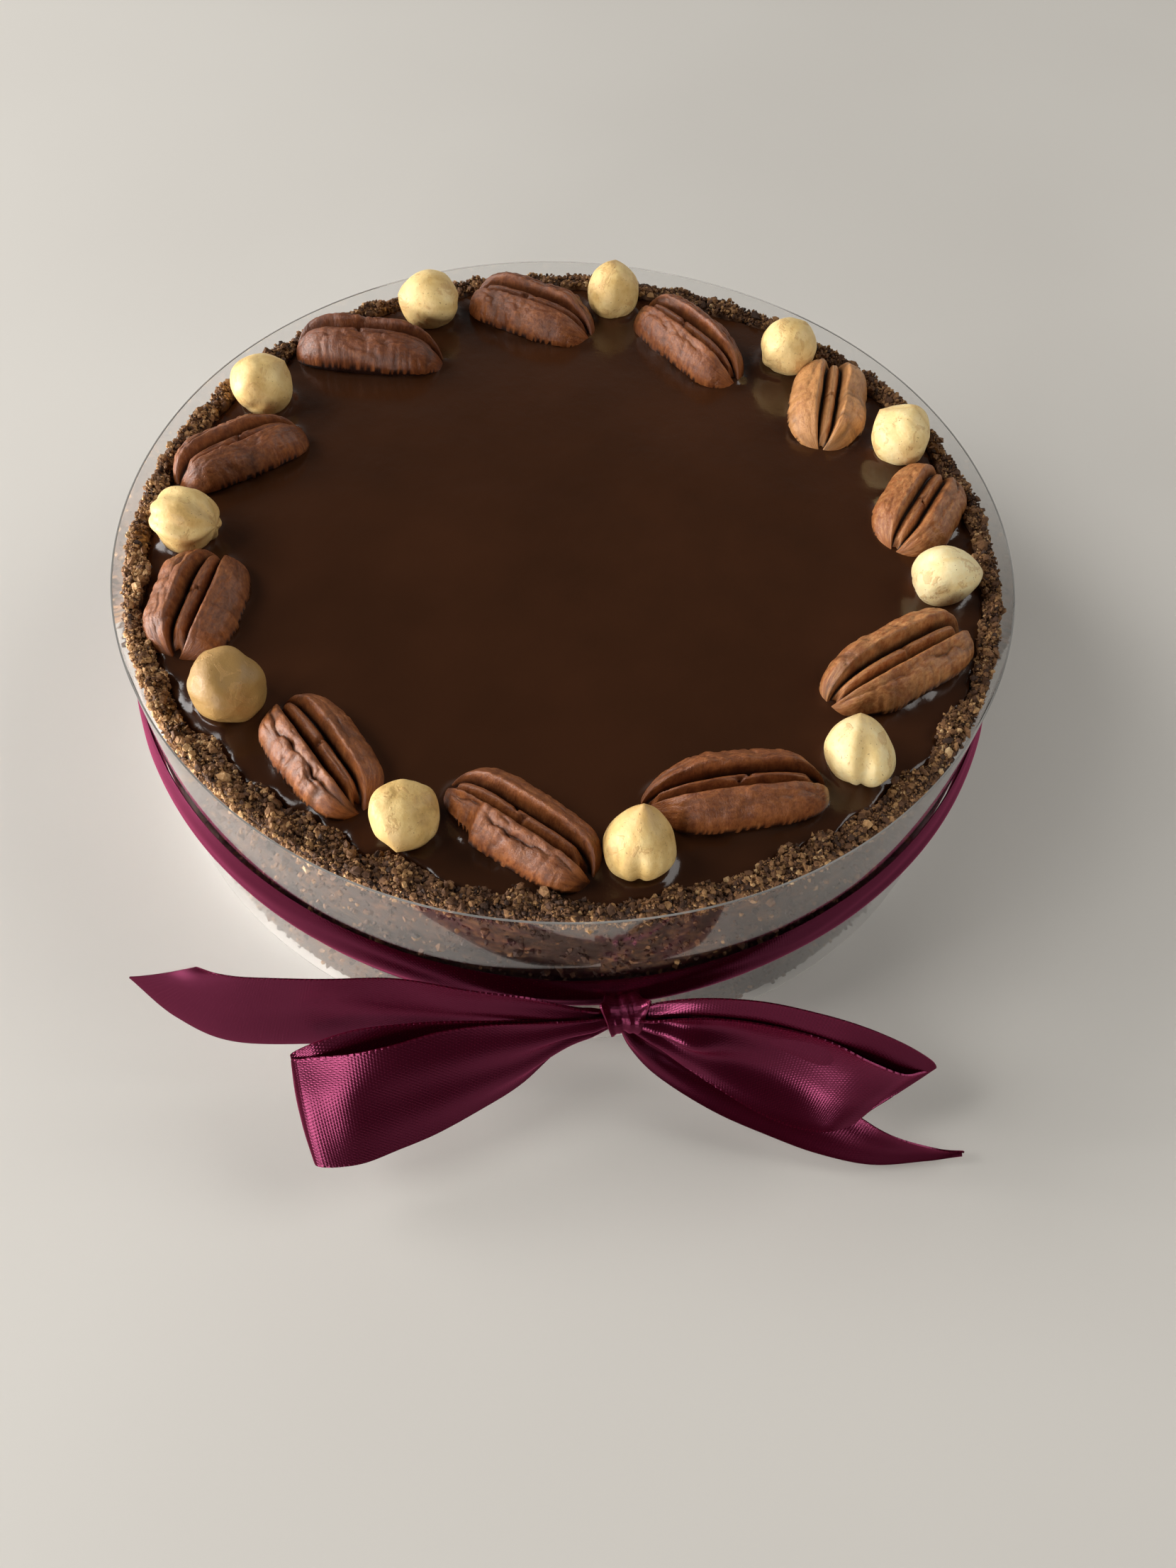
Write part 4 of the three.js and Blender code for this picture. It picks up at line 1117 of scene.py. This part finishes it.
knot = cloth_grid("ribbon_knot", KNOT_ROWS, knot_form)
mend(RIBBON_SEAM)
thicken(knot)
bpy.ops.object.select_all(action="DESELECT")
for part in [band, knot, *bow_parts]:
    part.select_set(True)
bpy.context.view_layer.objects.active = band
bpy.ops.object.join()
ribbon = band
ribbon.name = "satin_ribbon"
SATIN_LUSTRE = (0.95, 0.19, 0.42, 1)
LUSTRE_SHARE = 0.08
LUSTRE_RISE = 0.7
satin, shade = new_material("burgundy_satin")
weave = shade.node("UVMap", uv_map="weave")
run = shade.node("SeparateXYZ", {"Vector": weave})
cross = Shade(shade.tree, run.socket.node.outputs[1])
threads = TURN * RIBBON_WIDTH / TWILL_PITCH
twill = ((cross + run * 0.8) * threads).sine()
counter = ((cross - run * 0.5) * threads).sine()
slub = weave.noise(26, 3)
selvage = (((cross - 0.5) * (cross - 0.5) * 4 - 0.9) * 14).clamped()
picot = (run * (TURN * RIBBON_WIDTH / PICOT_PITCH)).sine() * 0.5 + 0.5
thread = 0.5 + twill * counter * 0.3 + twill * 0.15 + (slub - 0.5) * 0.3
satin_colour = (thread * 0.6 + selvage * picot * 0.5).clamped().between(tint(36, 1, 9), tint(66, 4, 21))
thread_bump = (thread + selvage * picot).bump(0.3, 0.0001)
cloth = shade.node("BsdfPrincipled", {
    "Base Color": satin_colour,
    "Roughness": 0.6,
    "Specular IOR Level": 0.0,
    "Normal": thread_bump,
})
lustre = shade.node("BsdfAnisotropic", {
    "Color": SATIN_LUSTRE,
    "Roughness": 0.18 + thread * 0.1,
    "Anisotropy": 0.34,
    "Rotation": 0.0,
    "Normal": thread_bump,
})
facing = shade.node("LayerWeight", {"Blend": 0.5}, output="Facing")
sheen = LUSTRE_SHARE + facing ** 4 * LUSTRE_RISE
shade.node("OutputMaterial", {"Surface": shade.node("MixShader", {0: sheen, 1: cloth, 2: lustre})})
ribbon.data.materials.clear()
ribbon.data.materials.append(satin)
settle(ribbon, "satin", "ribbon")


# Studio: a plain pale floor under the cake, soft light from the left, the right and the front, and the camera
# high in front, looking down.
FLOOR_SIZE = 6.0
floor = blank("floor", bpy.ops.mesh.primitive_plane_add, size=FLOOR_SIZE)
pale, shade = new_material("pale_floor")
where = shade.node("TexCoord", output="Object")
cloud = where.noise(9, 2)
surface(shade, {
    "Base Color": cloud.between(tint(220, 216, 209), tint(228, 225, 218)),
    "Roughness": 0.55,
})
floor.data.materials.append(pale)

DAYLIGHT = (1.0, 0.98, 0.96)
WALL_LIGHT = (1.0, 0.98, 0.95)
# Name, place, breadth and height, power and colour of each soft light, all turned to the cake
LIGHTS = (
    ("window", (-1.0, 0.35, 0.66), 0.52, 0.52, 5.9, DAYLIGHT),
    ("high_window", (-1.0, -0.25, 1.0), 0.5, 0.5, 4.7, DAYLIGHT),
    ("right_wall", (1.0, 0.3, 0.9), 0.8, 0.8, 6.0, WALL_LIGHT),
    ("front_pane", (-0.385, -1.0, 0.235), 0.34, 0.24, 4.6, DAYLIGHT),
    ("left_pane", (-1.15, -0.12, 0.12), 0.5, 0.2, 17.0, DAYLIGHT),
)
for name, place, broad, tall, power, colour in LIGHTS:
    bpy.ops.object.light_add(type="AREA", location=place)
    light = bpy.context.object
    light.name = name
    light.data.shape = "RECTANGLE"
    light.data.size = broad
    light.data.size_y = tall
    light.data.energy = power
    light.data.color = colour
    light.rotation_euler = (-light.location).to_track_quat("-Z", "Y").to_euler()
room = bpy.data.worlds.new("room")
bpy.context.scene.world = room
room.use_nodes = True
room.node_tree.nodes.clear()
shade = Shade(room.node_tree)
looking = shade.node("TexCoord", output="Generated")
sky = shade.node("SeparateXYZ", {"Vector": looking})
east, north, up = (Shade(shade.tree, sky.socket.node.outputs[k]) for k in range(3))
wall_light = (0.5 - east * 0.35 + north * 0.3).clamped()
glow = 0.05 + wall_light * (1 - up * 1.5).clamped() * 0.7
walls = shade.node("Background", {"Color": (1.0, 0.97, 0.92, 1), "Strength": glow})
shade.node("OutputWorld", {"Surface": walls})
bpy.context.scene.view_settings.view_transform = "Standard"

CAMERA_PLACE = (0.00698, -0.1641, 0.2076)
CAMERA_DOWN = math.radians(56.56)
CAMERA_ROLL = 0.0689
FOCAL_SHARE = 1700 / 2212
SENSOR = 36.0
camera = bpy.data.objects.new("camera", bpy.data.cameras.new("camera"))
bpy.context.collection.objects.link(camera)
camera.data.sensor_width = SENSOR
camera.data.lens = SENSOR * FOCAL_SHARE
camera.data.clip_start = 0.01
camera.matrix_world = (
    Matrix.Translation(CAMERA_PLACE)
    @ Matrix.Rotation(math.pi / 2 - CAMERA_DOWN, 4, "X")
    @ Matrix.Rotation(CAMERA_ROLL, 4, "Z")
)
bpy.context.scene.camera = camera
